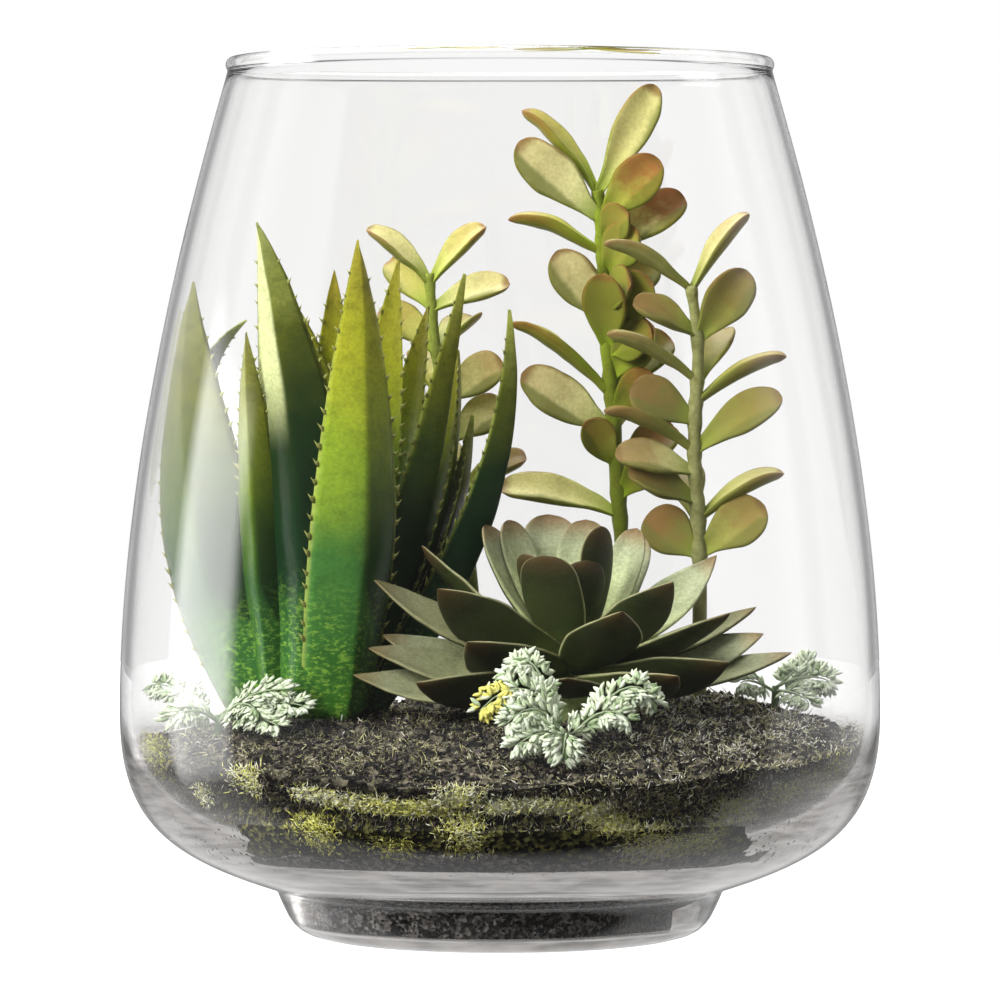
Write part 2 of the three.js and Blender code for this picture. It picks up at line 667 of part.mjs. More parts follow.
// Fronds leave the stalk one above another
function laceSpray(place, fronds) {
  const stalkTop = soilTop(...place) + SPRAY_STALK;
  const blades = fronds.map((row, i) => {
    const root = new THREE.Vector3(place[0], place[1], stalkTop - FROND_STEP * (i + 1));
    return frond(root, row);
  });
  return joined([peg(place, PEG.spray, stalkTop, 8), ...blades]);
}

function mesh(name, geometry, color, roughness, options = {}) {
  geometry.computeVertexNormals();
  const material = new THREE.MeshStandardMaterial({ color, roughness, metalness: 0, ...options });
  const made = new THREE.Mesh(geometry, material);
  made.name = name;
  return made;
}

const terrarium = new THREE.Group();
terrarium.add(
  mesh('glass_jar', glassJar(), 0xe8f0ee, 0.05, { transparent: true, opacity: 0.3 }),
  mesh('potting_soil', layer(potFoot, mossFoot, FOOT_BENDS, 1), 0x2b2622, 0.95),
  mesh('moss_layer', layer(mossFoot, mossTop, [], 4), 0x7f8030, 0.95),
  mesh('soil_mound', soilMound(), 0x35302a, 0.95),
  mesh('aloe', aloe(), 0x4f8a33, 0.45),
  mesh('tall_jade_stem', jadeStem(TALL_STEM, TALL_LEAVES, PEG.tall), 0x9fae55, 0.5),
  mesh('right_jade_stem', jadeStem(RIGHT_STEM, RIGHT_LEAVES, PEG.right), 0x96a452, 0.5),
  mesh('back_jade_stem', jadeStem(BACK_STEM, BACK_LEAVES, PEG.back), 0x9aa850, 0.5),
  mesh('rosette', rosette(), 0x6f8560, 0.55),
  mesh('lace_spray_front', laceSpray(SPRAY_FOOT.front, SPRAYS.front), 0xc9d6b8, 0.8),
  mesh('lace_spray_left', laceSpray(SPRAY_FOOT.left, SPRAYS.left), 0xc3cfaa, 0.8),
  mesh('lace_spray_right', laceSpray(SPRAY_FOOT.right, SPRAYS.right), 0xc3cfaa, 0.8),
);

export default terrarium;
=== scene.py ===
"""A glass jar planted with an aloe, three jade stems, a rosette and lace sprays.

Shapes are worked out in millimetres, in the jar's own frame: +Z up, the front towards -Y.
"""

import math

import bpy
import numpy as np
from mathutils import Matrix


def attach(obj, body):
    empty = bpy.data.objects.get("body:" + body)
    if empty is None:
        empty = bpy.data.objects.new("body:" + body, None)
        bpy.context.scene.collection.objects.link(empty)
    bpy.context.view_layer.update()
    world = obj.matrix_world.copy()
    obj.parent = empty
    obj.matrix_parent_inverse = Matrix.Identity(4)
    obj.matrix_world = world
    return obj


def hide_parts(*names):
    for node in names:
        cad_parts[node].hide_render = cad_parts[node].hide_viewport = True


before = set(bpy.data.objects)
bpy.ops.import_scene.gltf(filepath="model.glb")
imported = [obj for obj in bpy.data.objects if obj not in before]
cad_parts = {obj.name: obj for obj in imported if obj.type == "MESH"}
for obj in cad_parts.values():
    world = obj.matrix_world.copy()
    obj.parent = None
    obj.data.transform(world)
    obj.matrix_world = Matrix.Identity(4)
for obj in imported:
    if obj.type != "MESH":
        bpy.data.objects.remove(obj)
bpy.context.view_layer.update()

MM = 0.001
UP = np.array([0.0, 0.0, 1.0])
chance = np.random.default_rng(20)

# Jar
FOOT_RADIUS = 50.0
FOOT_TOP = (61.5, 12.8)
BELLY_RADIUS = 104.2
BELLY_HEIGHT = 61.0
NECK = (74.6, 235.5)
RIM_CENTRE = (72.9, 237.9)
RIM_BEAD = 2.1
WALL = 3.0
NECK_WALL = 2.8
FLOOR_HEIGHT = 4.0
JAR_COLUMNS = 160
JAR_SWAY = 0.06
SHOULDER_FADE = (48.0, 62.0)

# Soil
SOIL_CLEARANCE = 0.6
LAYER_GAP = 0.3
BED_RADIUS = 98.0
BED_COLUMNS = 240
MOUND_ROWS = 90
SLUMP = 15.0
SLUMP_TOP = (13.0, 22.0)

# How much closer the soil comes where its weight presses it to the glass, to what bearing from the
# front in radians, and between what heights: none, full, full, none
PRESSED = 0.9
PRESSED_TO = 0.7
PRESSED_BAND = (26.5, 28.5, 37.0, 40.0)

# How far the bed stands back from the glass, at the least and through its clods, and how much
# further in the hollow behind the moss
DENT = 0.2
DENT_CLODS = 1.4
MOSS_DENT = 1.2
MOSS_CLODS = 1.8
MOSSY_BAND = (37.0, 41.0, 44.0, 49.0)

# Where each plant grows
AXIL = {"aloe": (-47, -4), "rosette": (19, -24)}
SPRAY_FOOT = {"front": (17, -76), "left": (-76, -20), "right": (76, 5)}
PEG_FOOT = 49.0


def unit(arrows):
    """Each arrow divided by its length."""
    return arrows / np.maximum(np.linalg.norm(arrows, axis=-1, keepdims=True), 1e-9)


def smoothstep(low, high, value):
    """0 below low, 1 above high, and 3t^2 - 2t^3 between them."""
    share = np.clip((value - low) / (high - low), 0.0, 1.0)
    return share * share * (3.0 - 2.0 * share)


def band(value, start, full, fading, end):
    """0 outside start and end, 1 from full to fading, and smooth between them."""
    return smoothstep(start, full, value) * (1 - smoothstep(fading, end, value))


def circle(count):
    """Angles evenly round a full turn."""
    return np.arange(count) * 2.0 * np.pi / count


def points_at(x, y, z=0.0):
    """Points from their three coordinates."""
    return np.stack(np.broadcast_arrays(x, y, z), axis=-1)


def round_axis(bearing, reach=1.0, height=0.0):
    """Points round the upright axis: (reach cos t, reach sin t, height)."""
    return points_at(reach * np.cos(bearing), reach * np.sin(bearing), height)


def from_axis(points):
    """How far points are from the upright axis."""
    return np.hypot(points[..., 0], points[..., 1])


def rings(side, out, count):
    """Arrows round a circle or an oval: side cos t + out sin t."""
    angle = circle(count)[:, None]
    return side[..., None, :] * np.cos(angle) + out[..., None, :] * np.sin(angle)


def lattice(cells, seed):
    """A fixed value from 0 to 1 for each whole-number cell, from its numbers multiplied and shifted."""
    mixed = cells[..., 0] * 374761393 + cells[..., 1] * 668265263 + cells[..., 2] * 974634777 + seed * 144665
    mixed = (mixed & 0xFFFFFFFF) ^ ((mixed & 0xFFFFFFFF) >> 13)
    mixed = (mixed * 1274126177) & 0xFFFFFFFF
    return ((mixed ^ (mixed >> 16)) & 0xFFFF) / 65535.0


def noise(places, size, seed=0, octaves=1):
    """Smooth noise from -1 to 1: lattice values blended over cells of that size, each octave half as big."""
    total = np.zeros(places.shape[:-1])
    for octave in range(octaves):
        scaled = places * (2.0 ** octave / size)
        cell = np.floor(scaled).astype(np.int64)
        share = smoothstep(0.0, 1.0, scaled - cell)
        for corner in np.ndindex(2, 2, 2):
            step = np.array(corner)
            amount = np.prod(np.where(step == 1, share, 1.0 - share), axis=-1)
            total += 0.5 ** octave * amount * (2.0 * lattice(cell + step, seed + octave) - 1.0)
    return total


def turned(arrows, axes, angles):
    """Arrows turned round unit axes: a cos t + (k x a) sin t + k (k . a)(1 - cos t)."""
    cosine = np.cos(angles)[..., None]
    sine = np.sin(angles)[..., None]
    along = np.sum(axes * arrows, axis=-1, keepdims=True)
    return arrows * cosine + np.cross(axes, arrows) * sine + axes * along * (1.0 - cosine)


def grid_quads(rows, columns):
    """Quads that join each row of a grid to the next, with its last column joined to its first."""
    row = np.arange(rows - 1)[:, None] * columns
    column = np.arange(columns)[None, :]
    after = (column + 1) % columns
    corners = [row + column, row + after, row + columns + after, row + columns + column]
    return np.stack(corners, axis=-1).reshape(-1, 4)


def skins(grids, starts, ends, **paint):
    """Closed skins over grids of points (copy, row, column), with a pole point at each end.

    A paint value at a pole is the mean of the row beside it.
    """
    copies, rows, columns, _ = grids.shape
    count = rows * columns
    places = np.concatenate([grids.reshape(copies, count, 3), starts[:, None], ends[:, None]], axis=1)
    column = np.arange(columns)
    after = (column + 1) % columns
    last = count - columns
    low = np.stack([np.full(columns, count), after, column], axis=-1)
    high = np.stack([np.full(columns, count + 1), last + column, last + after], axis=-1)
    step = (np.arange(copies) * (count + 2))[:, None, None]
    painted = {}
    for name, values in paint.items():
        spread = np.broadcast_to(values, (copies, rows, columns))
        poles = np.stack([spread[:, 0].mean(axis=1), spread[:, -1].mean(axis=1)], axis=1)
        painted[name] = np.concatenate([spread.reshape(copies, count), poles], axis=1).ravel()
    quads = (grid_quads(rows, columns)[None] + step).reshape(-1, 4)
    caps = (np.concatenate([low, high])[None] + step).reshape(-1, 3)
    return facing_out({"places": places.reshape(-1, 3), "quads": quads, "caps": caps, "paint": painted})


def facing_out(part):
    """The part with its faces turned over if the volume that they enclose comes out below zero."""
    halves = [part["quads"][:, [0, 1, 2]], part["quads"][:, [0, 2, 3]], part["caps"]]
    corners = part["places"][np.concatenate(halves)]
    if np.sum(corners[:, 0] * np.cross(corners[:, 1], corners[:, 2])) < 0:
        part["quads"] = part["quads"][:, ::-1]
        part["caps"] = part["caps"][:, ::-1]
    return part


def joined(*parts):
    """Several parts as one, each with its point numbers moved past those before it."""
    step = np.cumsum([0] + [len(part["places"]) for part in parts])
    whole = {"places": np.concatenate([part["places"] for part in parts]), "paint": {}}
    for kind in ("quads", "caps"):
        whole[kind] = np.concatenate([part[kind] + first for part, first in zip(parts, step)])
    for name in set().union(*(part["paint"] for part in parts)):
        values = [part["paint"].get(name, np.zeros(len(part["places"]))) for part in parts]
        whole["paint"][name] = np.concatenate(values)
    return whole


def linked(name, contents):
    """A new object with these contents, in the scene."""
    made = bpy.data.objects.new(name, contents)
    bpy.context.scene.collection.objects.link(made)
    return made


def solid(name, part, finish, smooth):
    """An object whose mesh is the part in metres, with its paint as attributes."""
    mesh = bpy.data.meshes.new(name)
    corners = np.concatenate([part["quads"].ravel(), part["caps"].ravel()])
    cap_starts = part["quads"].size + 3 * np.arange(len(part["caps"]))
    starts = np.concatenate([4 * np.arange(len(part["quads"])), cap_starts])
    mesh.vertices.add(len(part["places"]))
    mesh.vertices.foreach_set("co", (part["places"] * MM).astype(np.float32).ravel())
    mesh.loops.add(len(corners))
    mesh.loops.foreach_set("vertex_index", corners.astype(np.int32))
    mesh.polygons.add(len(starts))
    mesh.polygons.foreach_set("loop_start", starts.astype(np.int32))
    mesh.polygons.foreach_set("use_smooth", np.full(len(starts), smooth))
    mesh.update(calc_edges=True)
    for paint_name, values in part["paint"].items():
        paint = mesh.attributes.new(paint_name, "FLOAT", "POINT")
        paint.data.foreach_set("value", values.astype(np.float32))
    mesh.materials.append(finish)
    return linked(name, mesh)


def piece(name, part, finish, node=None, smooth=True):
    """A visible piece that rides the root body, in place of a solid's node where one is named."""
    made = solid(name, part, finish, smooth)
    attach(made, "root")
    if node:
        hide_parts(node)


def linear(colour):
    """Red, green and blue from 0 to 255 as a screen shows them, as the linear colour that shaders take.

    A socket, or a linear colour of four numbers, is given back as it is.
    """
    if isinstance(colour, bpy.types.NodeSocket) or len(colour) == 4:
        return colour
    share = np.array(colour) / 255.0
    light = np.where(share <= 0.04045, share / 12.92, ((share + 0.055) / 1.055) ** 2.4)
    return (*light.tolist(), 1.0)


class Nodes:
    """A node tree, with one short call for each kind of node that the finishes use."""

    def __init__(self, tree, finish=None):
        self.tree = tree
        self.finish = finish

    def feed(self, node, place, value):
        """Links a socket to the node's input, or makes any other value the input's own."""
        if isinstance(value, bpy.types.NodeSocket):
            self.tree.links.new(value, node.inputs[place])
        else:
            node.inputs[place].default_value = value

    def add(self, kind, inputs=(), **settings):
        node = self.tree.nodes.new(f"ShaderNode{kind}")
        for name, value in settings.items():
            setattr(node, name, value)
        for place, value in dict(inputs).items():
            self.feed(node, place, value)
        return node

    def paint(self, name):
        """A value that the mesh carries as an attribute."""
        return self.add("Attribute", attribute_name=name).outputs["Fac"]

    def places(self, stretch=(1, 1, 1)):
        """Object coordinates, in millimetres, stretched along each axis."""
        where = self.add("TexCoord").outputs["Object"]
        scale = tuple(1.0 / (MM * amount) for amount in stretch)
        return self.add("Mapping", {"Vector": where, "Scale": scale}).outputs["Vector"]

    def noise(self, size, detail=2.0, rough=0.5, where=None):
        """Noise with bumps of that size in millimetres."""
        where = self.places() if where is None else where
        inputs = {"Vector": where, "Scale": 1.0 / size, "Detail": detail, "Roughness": rough}
        return self.add("TexNoise", inputs).outputs["Fac"]

    def maths(self, operation, *values):
        return self.add("Math", dict(enumerate(values)), operation=operation).outputs[0]

    def times(self, product, *factors):
        for factor in factors:
            product = self.maths("MULTIPLY", product, factor)
        return product

    def plus(self, first, second):
        return self.maths("ADD", first, second)

    def most(self, first, second):
        return self.maths("MAXIMUM", first, second)

    def swayed(self, value, wave, amount):
        """The value moved either way by noise: value + amount (wave - 0.5)."""
        return self.plus(value, self.times(self.maths("SUBTRACT", wave, 0.5), amount))

    def span(self, value, low, high, out_low=0.0, out_high=1.0):
        """The value's share between low and high, smoothed and clamped, carried to another range."""
        inputs = {"Value": value, "From Min": low, "From Max": high, "To Min": out_low, "To Max": out_high}
        return self.add("MapRange", inputs, interpolation_type="SMOOTHSTEP").outputs[0]

    def ramp(self, value, *stops):
        """A colour ramp whose stops are a place from 0 to 1 and the numbers of a colour."""
        node = self.add("ValToRGB", {"Fac": value})
        elements = node.color_ramp.elements
        while len(elements) < len(stops):
            elements.new(0.5)
        for element, (place, *colour) in zip(elements, stops):
            element.position = place
            element.color = linear(colour)
        return node.outputs["Color"]

    def mix(self, share, first, second, mode="MIX"):
        inputs = {0: share, 6: linear(first), 7: linear(second)}
        return self.add("Mix", inputs, data_type="RGBA", blend_type=mode).outputs[2]

    def bump(self, height, strength, depth):
        """A bump whose full height is depth millimetres."""
        inputs = {"Height": height, "Strength": strength, "Distance": depth * MM}
        return self.add("Bump", inputs).outputs["Normal"]

    def mottled(self, colour, blotch, size, amount):
        inputs = {"Colour": colour, "Blotch": linear(blotch), "Blotch size": size, "Amount": amount}
        return self.add("Group", inputs, node_tree=MOTTLE).outputs

    def skin(self, colour, rough, gloss, normal, more=()):
        inputs = {"Base Color": colour, "Roughness": rough, "Specular IOR Level": gloss, "Normal": normal}
        return self.add("BsdfPrincipled", {**inputs, **dict(more)}).outputs[0]

    def blend(self, share, first, second):
        return self.add("MixShader", {0: share, 1: first, 2: second}).outputs[0]

    def leaf(self, colour, normal, rough, glow):
        """The finish of a waxy skin over flesh that lets light through, with glow as the flesh's share."""
        through = self.add("BsdfTranslucent", {"Color": colour, "Normal": normal}).outputs[0]
        return self.finished(self.blend(glow, self.skin(colour, rough, 0.3, normal), through))

    def finished(self, shader):
        self.add("OutputMaterial", {"Surface": shader})
        return self.finish


def new_finish(name):
    """The empty node tree of a new material."""
    finish = bpy.data.materials.new(name)
    finish.use_nodes = True
    finish.node_tree.nodes.clear()
    return Nodes(finish.node_tree, finish)


def shared_effect(name, inputs):
    """A node group with these inputs that puts out a colour and a height: its nodes, inputs and outputs."""
    tree = bpy.data.node_groups.new(name, "ShaderNodeTree")
    for label, value in inputs.items():
        kind = "NodeSocketColor" if isinstance(value, tuple) else "NodeSocketFloat"
        tree.interface.new_socket(label, in_out="INPUT", socket_type=kind).default_value = value
    for label, kind in (("Colour", "NodeSocketColor"), ("Height", "NodeSocketFloat")):
        tree.interface.new_socket(label, in_out="OUTPUT", socket_type=kind)
    return Nodes(tree), tree.nodes.new("NodeGroupInput").outputs, tree.nodes.new("NodeGroupOutput")


def leaf_mottle():
    """Blotches of a second colour, and fine streaks and pores in the height, for every plant."""
    nodes, given, out = shared_effect("leaf_mottle", {
        "Colour": (0.2, 0.4, 0.1, 1), "Blotch": (0.1, 0.2, 0.05, 1), "Blotch size": 6.0, "Amount": 0.5})
    where = nodes.places()
    scale = nodes.maths("DIVIDE", 1.0, given["Blotch size"])
    blotch = nodes.add("TexNoise", {"Vector": where, "Scale": scale, "Detail": 5.0, "Roughness": 0.62})
    spots = nodes.span(blotch.outputs["Fac"], 0.42, 0.68)
    fine = nodes.noise(0.9, 4.0, 0.6, where)
    coloured = nodes.mix(nodes.times(spots, given["Amount"]), given["Colour"], given["Blotch"])
    nodes.feed(out, "Colour", nodes.mix(nodes.span(fine, 0.3, 0.75, 0.0, 0.28), coloured, given["Blotch"]))
    nodes.feed(out, "Height", fine)
    return nodes.tree


def loose_grain():
    """Light and dark crumbs by noise and cells, for soils."""
    nodes, given, out = shared_effect("loose_grain", {
        "Dark": (0.01, 0.01, 0.01, 1), "Light": (0.1, 0.1, 0.1, 1), "Grain size": 2.0, "Light share": 0.4})
    where = nodes.places()
    scale = nodes.maths("DIVIDE", 1.0, given["Grain size"])
    cells = nodes.add("TexVoronoi", {"Vector": where, "Scale": scale}).outputs
    clods = nodes.noise(7.0, 4.0, 0.6, where)
    tint = nodes.times(cells["Color"], clods)
    edge = nodes.maths("SUBTRACT", 1.0, given["Light share"])
    reach = {"Value": tint, "From Min": nodes.times(edge, 0.45), "From Max": edge}
    share = nodes.add("MapRange", reach).outputs[0]
    nodes.feed(out, "Colour", nodes.mix(share, given["Dark"], given["Light"]))
    nodes.feed(out, "Height", nodes.plus(cells["Distance"], nodes.times(clods, 2.0)))
    return nodes.tree


MOTTLE = leaf_mottle()
GRAIN = loose_grain()


def clear_glass():
    """Clear glass, greyed by painted shade where it is seen edge on, that lets shadow rays straight through.

    Light trapped in the thick shoulder leaves it again through the painted outside, in grey streaks.
    """
    nodes = new_finish("clear_glass")
    facing = nodes.add("LayerWeight", {"Blend": 0.5}).outputs["Facing"]
    # Painted shade: the glass turns grey where it is seen edge on.
    tint = nodes.ramp(facing, (0.0, 0.985, 0.983, 0.98, 1), (0.4, 0.975, 0.973, 0.97, 1),
                      (0.7, 0.9, 0.9, 0.895, 1), (0.97, 0.72, 0.73, 0.72, 1))
    glass = nodes.add("BsdfPrincipled", {
        "Base Color": tint, "Roughness": 0.0, "IOR": 1.5, "Transmission Weight": 1.0}).outputs[0]
    clear = nodes.add("BsdfTransparent", {"Color": (0.94, 0.94, 0.94, 1)}).outputs[0]
    streaks = nodes.noise(1.0, 4.0, 0.6, nodes.places((16.0, 16.0, 1.8)))
    smoke = nodes.mix(nodes.span(streaks, 0.35, 0.68), (0.44, 0.42, 0.405, 1), (0.16, 0.15, 0.14, 1))
    smoky = nodes.add("BsdfTransparent", {"Color": smoke}).outputs[0]
    path = nodes.add("LightPath").outputs
    late = nodes.maths("GREATER_THAN", path["Ray Depth"], 1.5)
    escaped = nodes.blend(nodes.times(late, 0.8, nodes.paint("shoulder")), glass, smoky)
    return nodes.finished(nodes.blend(path["Is Shadow Ray"], escaped, clear))


def soil_finish(name, dark, light, grain, share):
    """Matt soil, with the shared grain in its colour and relief."""
    nodes = new_finish(name)
    inputs = {"Dark": linear(dark), "Light": linear(light), "Grain size": grain, "Light share": share}
    crumbs = nodes.add("Group", inputs, node_tree=GRAIN).outputs
    return nodes.finished(nodes.skin(crumbs["Colour"], 0.95, 0.15, nodes.bump(crumbs["Height"], 0.9, 0.8)))


def crumb_finish():
    """Loose crumbs: each takes its own tone between black, earth brown, slate grey and pale grit."""
    nodes = new_finish("soil_crumb")
    colour = nodes.ramp(nodes.paint("tone"), (0.0, 12, 11, 10), (0.35, 38, 33, 30), (0.6, 58, 50, 47),
                        (0.8, 84, 78, 82), (0.95, 112, 100, 88), (1.0, 168, 158, 140))
    fine = nodes.noise(0.5, 3.0, 0.6)
    speckled = nodes.mix(nodes.span(fine, 0.35, 0.75, 0.0, 0.5), colour, (18, 17, 16))
    return nodes.finished(nodes.skin(speckled, 0.9, 0.2, nodes.bump(fine, 0.6, 0.3)))


def strand_finish(name, glow, *stops):
    """Fine strands: each takes its own tone, and is darker at its root than at its tip."""
    nodes = new_finish(name)
    shade = nodes.span(nodes.paint("along"), 0.0, 0.4, 0.35, 1.0)
    grey = nodes.add("CombineColor", {"Red": shade, "Green": shade, "Blue": shade}).outputs[0]
    shaded = nodes.mix(1.0, nodes.ramp(nodes.paint("tone"), *stops), grey, "MULTIPLY")
    return nodes.leaf(shaded, nodes.bump(nodes.noise(0.4), 0.3, 0.1), 0.8, glow)


def aloe_finish():
    """Saturated green at the base, dark in the middle, yellow towards the tip, more so in a ripe leaf.

    Above its base a leaf has painted shade on one side of its keel, less so towards the tip. A leaf with
    shade is near black below its middle, also painted shade, and one with a highlight strip is pale near
    the tip on its other side, a painted highlight.
    """
    nodes = new_finish("aloe_skin")
    along = nodes.paint("along")
    across = nodes.paint("across")
    shade = nodes.paint("shade")
    height = nodes.swayed(along, nodes.noise(16.0, 3.0), 0.2)
    young = nodes.ramp(height, (0.0, 64, 118, 36), (0.14, 54, 104, 48), (0.3, 16, 42, 24),
                       (0.62, 28, 44, 16), (0.8, 100, 106, 34), (1.0, 186, 192, 100))
    old = nodes.ramp(height, (0.0, 74, 126, 36), (0.16, 58, 112, 46), (0.34, 68, 118, 50),
                     (0.56, 142, 168, 46), (0.78, 186, 188, 50), (1.0, 178, 166, 64))
    # Painted shade on one side of the keel, above the base.
    keel = nodes.plus(across, nodes.span(along, 0.34, 0.1, 0.0, 0.9))
    painted_keel_shade = nodes.times(nodes.span(keel, 0.02, -0.2), nodes.span(along, 0.75, 0.4, 0.05, 0.72))
    keel_shaded = nodes.mix(painted_keel_shade, nodes.mix(nodes.paint("ripe"), young, old), (8, 20, 8))
    # Painted highlight: a pale strip near the tip, on the other side of the keel.
    highlight_strip = nodes.times(nodes.span(across, -0.05, 0.12), nodes.paint("highlight_strip"), nodes.span(along, 0.56, 0.76))
    highlighted = nodes.mix(highlight_strip, keel_shaded, nodes.mix(along, (190, 208, 110), (250, 252, 196)))
    edge = nodes.span(nodes.maths("ABSOLUTE", across), 0.9, 1.0, 0.0, 0.6)
    edged = nodes.mix(edge, highlighted, (190, 200, 96))
    # Painted shade: near black below the middle of a leaf with shade.
    shaded = nodes.mix(nodes.times(shade, nodes.span(along, 0.35, 0.7, 0.92, 0.0)), edged, (10, 26, 12))
    mottled = nodes.mottled(shaded, (16, 52, 18), 5.0, 0.25)
    flecks = nodes.noise(1.2, 3.0, 0.75, nodes.places((1.7, 1.7, 0.8)))
    low = nodes.times(nodes.span(along, 0.14, 0.36, 1.0, 0.0), nodes.maths("SUBTRACT", 1.0, shade))
    sparks = nodes.times(nodes.span(flecks, 0.48, 0.64, 0.0, 0.7), low)
    sparked = nodes.mix(sparks, mottled["Colour"], (140, 184, 70))
    return nodes.leaf(sparked, nodes.bump(flecks, 0.12, 0.2), 0.34, nodes.span(along, 0.5, 0.95, 0.04, 0.5))


def tooth_finish():
    """Pale teeth, mottled with olive."""
    nodes = new_finish("aloe_tooth")
    fine = nodes.noise(0.6)
    return nodes.leaf(nodes.mix(fine, (186, 186, 104), (84, 92, 40)), nodes.bump(fine, 0.2, 0.1), 0.45, 0.25)


def jade_finish():
    """Pale yellow flesh, an olive-brown rim and underside, and a red-brown blush towards the tip.

    The part of a leaf that drops away below its middle is darker green, a painted shade, and a worn plant is
    greyer.
    """
    nodes = new_finish("jade_skin")
    along = nodes.paint("along")
    patch = nodes.noise(5.0, 4.0, 0.65)
    flesh = nodes.ramp(nodes.paint("tone"), (0.0, 104, 116, 34), (0.4, 190, 194, 84), (0.75, 240, 236, 154),
                       (1.0, 252, 248, 180))
    fleshed = nodes.mix(nodes.span(along, 0.0, 0.42, 0.8, 0.0), flesh, (150, 184, 36))
    belly = nodes.mix(nodes.times(nodes.paint("under"), 0.75), fleshed, (112, 118, 34))
    red = nodes.times(nodes.span(nodes.swayed(along, patch, 0.9), 0.25, 0.8, 0.0, 0.9), nodes.paint("blush"))
    blushed = nodes.mix(red, belly, (166, 92, 56))
    edge = nodes.swayed(nodes.maths("ABSOLUTE", nodes.paint("across")), patch, 0.3)
    rim = nodes.mix(nodes.span(along, 0.3, 0.85), (120, 140, 26), (136, 92, 44))
    rimmed = nodes.mix(nodes.span(edge, 0.78, 1.0, 0.0, 0.85), blushed, rim)
    tip = nodes.span(nodes.plus(along, nodes.times(patch, 0.1)), 0.93, 1.02, 0.0, 0.8)
    tipped = nodes.mix(tip, rimmed, (138, 90, 50))
    # Painted shade: darker green where the leaf drops away below its middle.
    bent = nodes.plus(nodes.paint("drop"), nodes.times(patch, 0.25))
    painted_fold_shade = nodes.times(nodes.span(bent, 0.3, 0.5, 0.0, 0.7), nodes.span(along, 0.02, 0.2))
    fold_shaded = nodes.mix(painted_fold_shade, tipped, (104, 122, 34))
    aged = nodes.mix(nodes.times(nodes.paint("worn"), 0.5), fold_shaded, (142, 134, 96))
    mottled = nodes.mottled(aged, (150, 138, 56), 3.5, 0.18)
    return nodes.leaf(mottled["Colour"], nodes.bump(mottled["Height"], 0.25, 0.25), 0.42, 0.28)


def stem_finish():
    """Bright yellow-green stems, duller and browner by tone and towards the ground."""
    nodes = new_finish("jade_stem")
    ridges = nodes.noise(1.6, 4.0, 0.6, nodes.places((1, 1, 0.35)))
    fresh = nodes.ramp(nodes.paint("along"), (0.0, 90, 100, 38), (0.45, 122, 138, 40), (1.0, 146, 166, 48))
    mottled = nodes.mottled(nodes.mix(nodes.paint("tone"), fresh, (168, 166, 118)), (96, 88, 36), 3.0, 0.45)
    return nodes.leaf(mottled["Colour"], nodes.bump(ridges, 0.5, 0.4), 0.55, 0.2)


def rosette_finish():
    """Pale frosty upper faces, olive undersides made near black by painted shade, thin pale rims and brown
    tips.
    """
    nodes = new_finish("rosette_skin")
    along = nodes.paint("along")
    frost = nodes.ramp(along, (0.0, 232, 250, 168), (0.35, 230, 244, 178), (0.84, 214, 222, 180),
                       (0.95, 178, 156, 118), (1.0, 140, 106, 74))
    shaded = nodes.mix(nodes.times(nodes.paint("tone"), 0.8), frost, (128, 122, 82))
    # Undersides: olive, made near black by painted shade.
    belly = nodes.ramp(along, (0.0, 120, 138, 66), (0.35, 58, 68, 32), (0.8, 38, 42, 20), (1.0, 84, 62, 38))
    belly_shaded = nodes.mix(nodes.span(nodes.paint("under"), 0.35, 0.65), shaded, belly)
    streaks = nodes.noise(1.5, 3.0, 0.6, nodes.places((1.0, 1.0, 0.3)))
    streaked = nodes.mix(nodes.span(streaks, 0.4, 0.75, 0.0, 0.22), belly_shaded, (76, 88, 46))
    rim = nodes.span(nodes.maths("ABSOLUTE", nodes.paint("across")), 0.94, 1.0, 0.0, 0.45)
    mottled = nodes.mottled(nodes.mix(rim, streaked, (176, 170, 124)), (60, 68, 34), 7.0, 0.28)
    return nodes.leaf(mottled["Colour"], nodes.bump(nodes.noise(3.0, 3.0), 0.1, 0.25), 0.44, 0.3)


def lace_finish():
    """Powdery white-green, with yellow leaflets by tone, a green rib, and painted shade in darker green at
    each leaflet's root.
    """
    nodes = new_finish("lace_skin")
    colour = nodes.ramp(nodes.paint("tone"), (0.0, 92, 118, 70), (0.3, 170, 190, 146), (0.6, 222, 232, 202),
                        (0.9, 240, 246, 228), (1.0, 236, 228, 120))
    # Darker green at each leaflet's root and on the rib: the rib's own green, and painted shade between
    # leaflets.
    based = nodes.mix(nodes.span(nodes.paint("along"), 0.0, 0.4, 0.4, 0.0), colour, (88, 112, 62))
    fine = nodes.noise(0.7, 3.0, 0.6)
    powdered = nodes.mix(nodes.span(fine, 0.35, 0.75, 0.0, 0.3), based, (150, 166, 124))
    return nodes.leaf(powdered, nodes.bump(fine, 0.4, 0.15), 0.8, 0.25)


def cubic_points(start, pull, push, end, count):
    """Points on a cubic curve from start to end, in (radius, height)."""
    share = np.linspace(0.0, 1.0, count)[:, None]
    start, pull, push, end = (np.array(place, float) for place in (start, pull, push, end))
    rest = 1.0 - share
    return (rest ** 3 * start + 3 * rest ** 2 * share * pull
            + 3 * rest * share ** 2 * push + share ** 3 * end)


def rounded(profile):
    """The outline with each corner cut, at a quarter and at three quarters of its sides."""
    near = 0.75 * profile[:-1] + 0.25 * profile[1:]
    far = 0.25 * profile[:-1] + 0.75 * profile[1:]
    cut = np.stack([near, far], axis=1).reshape(-1, profile.shape[1])
    return np.concatenate([profile[:1], cut, profile[-1:]])


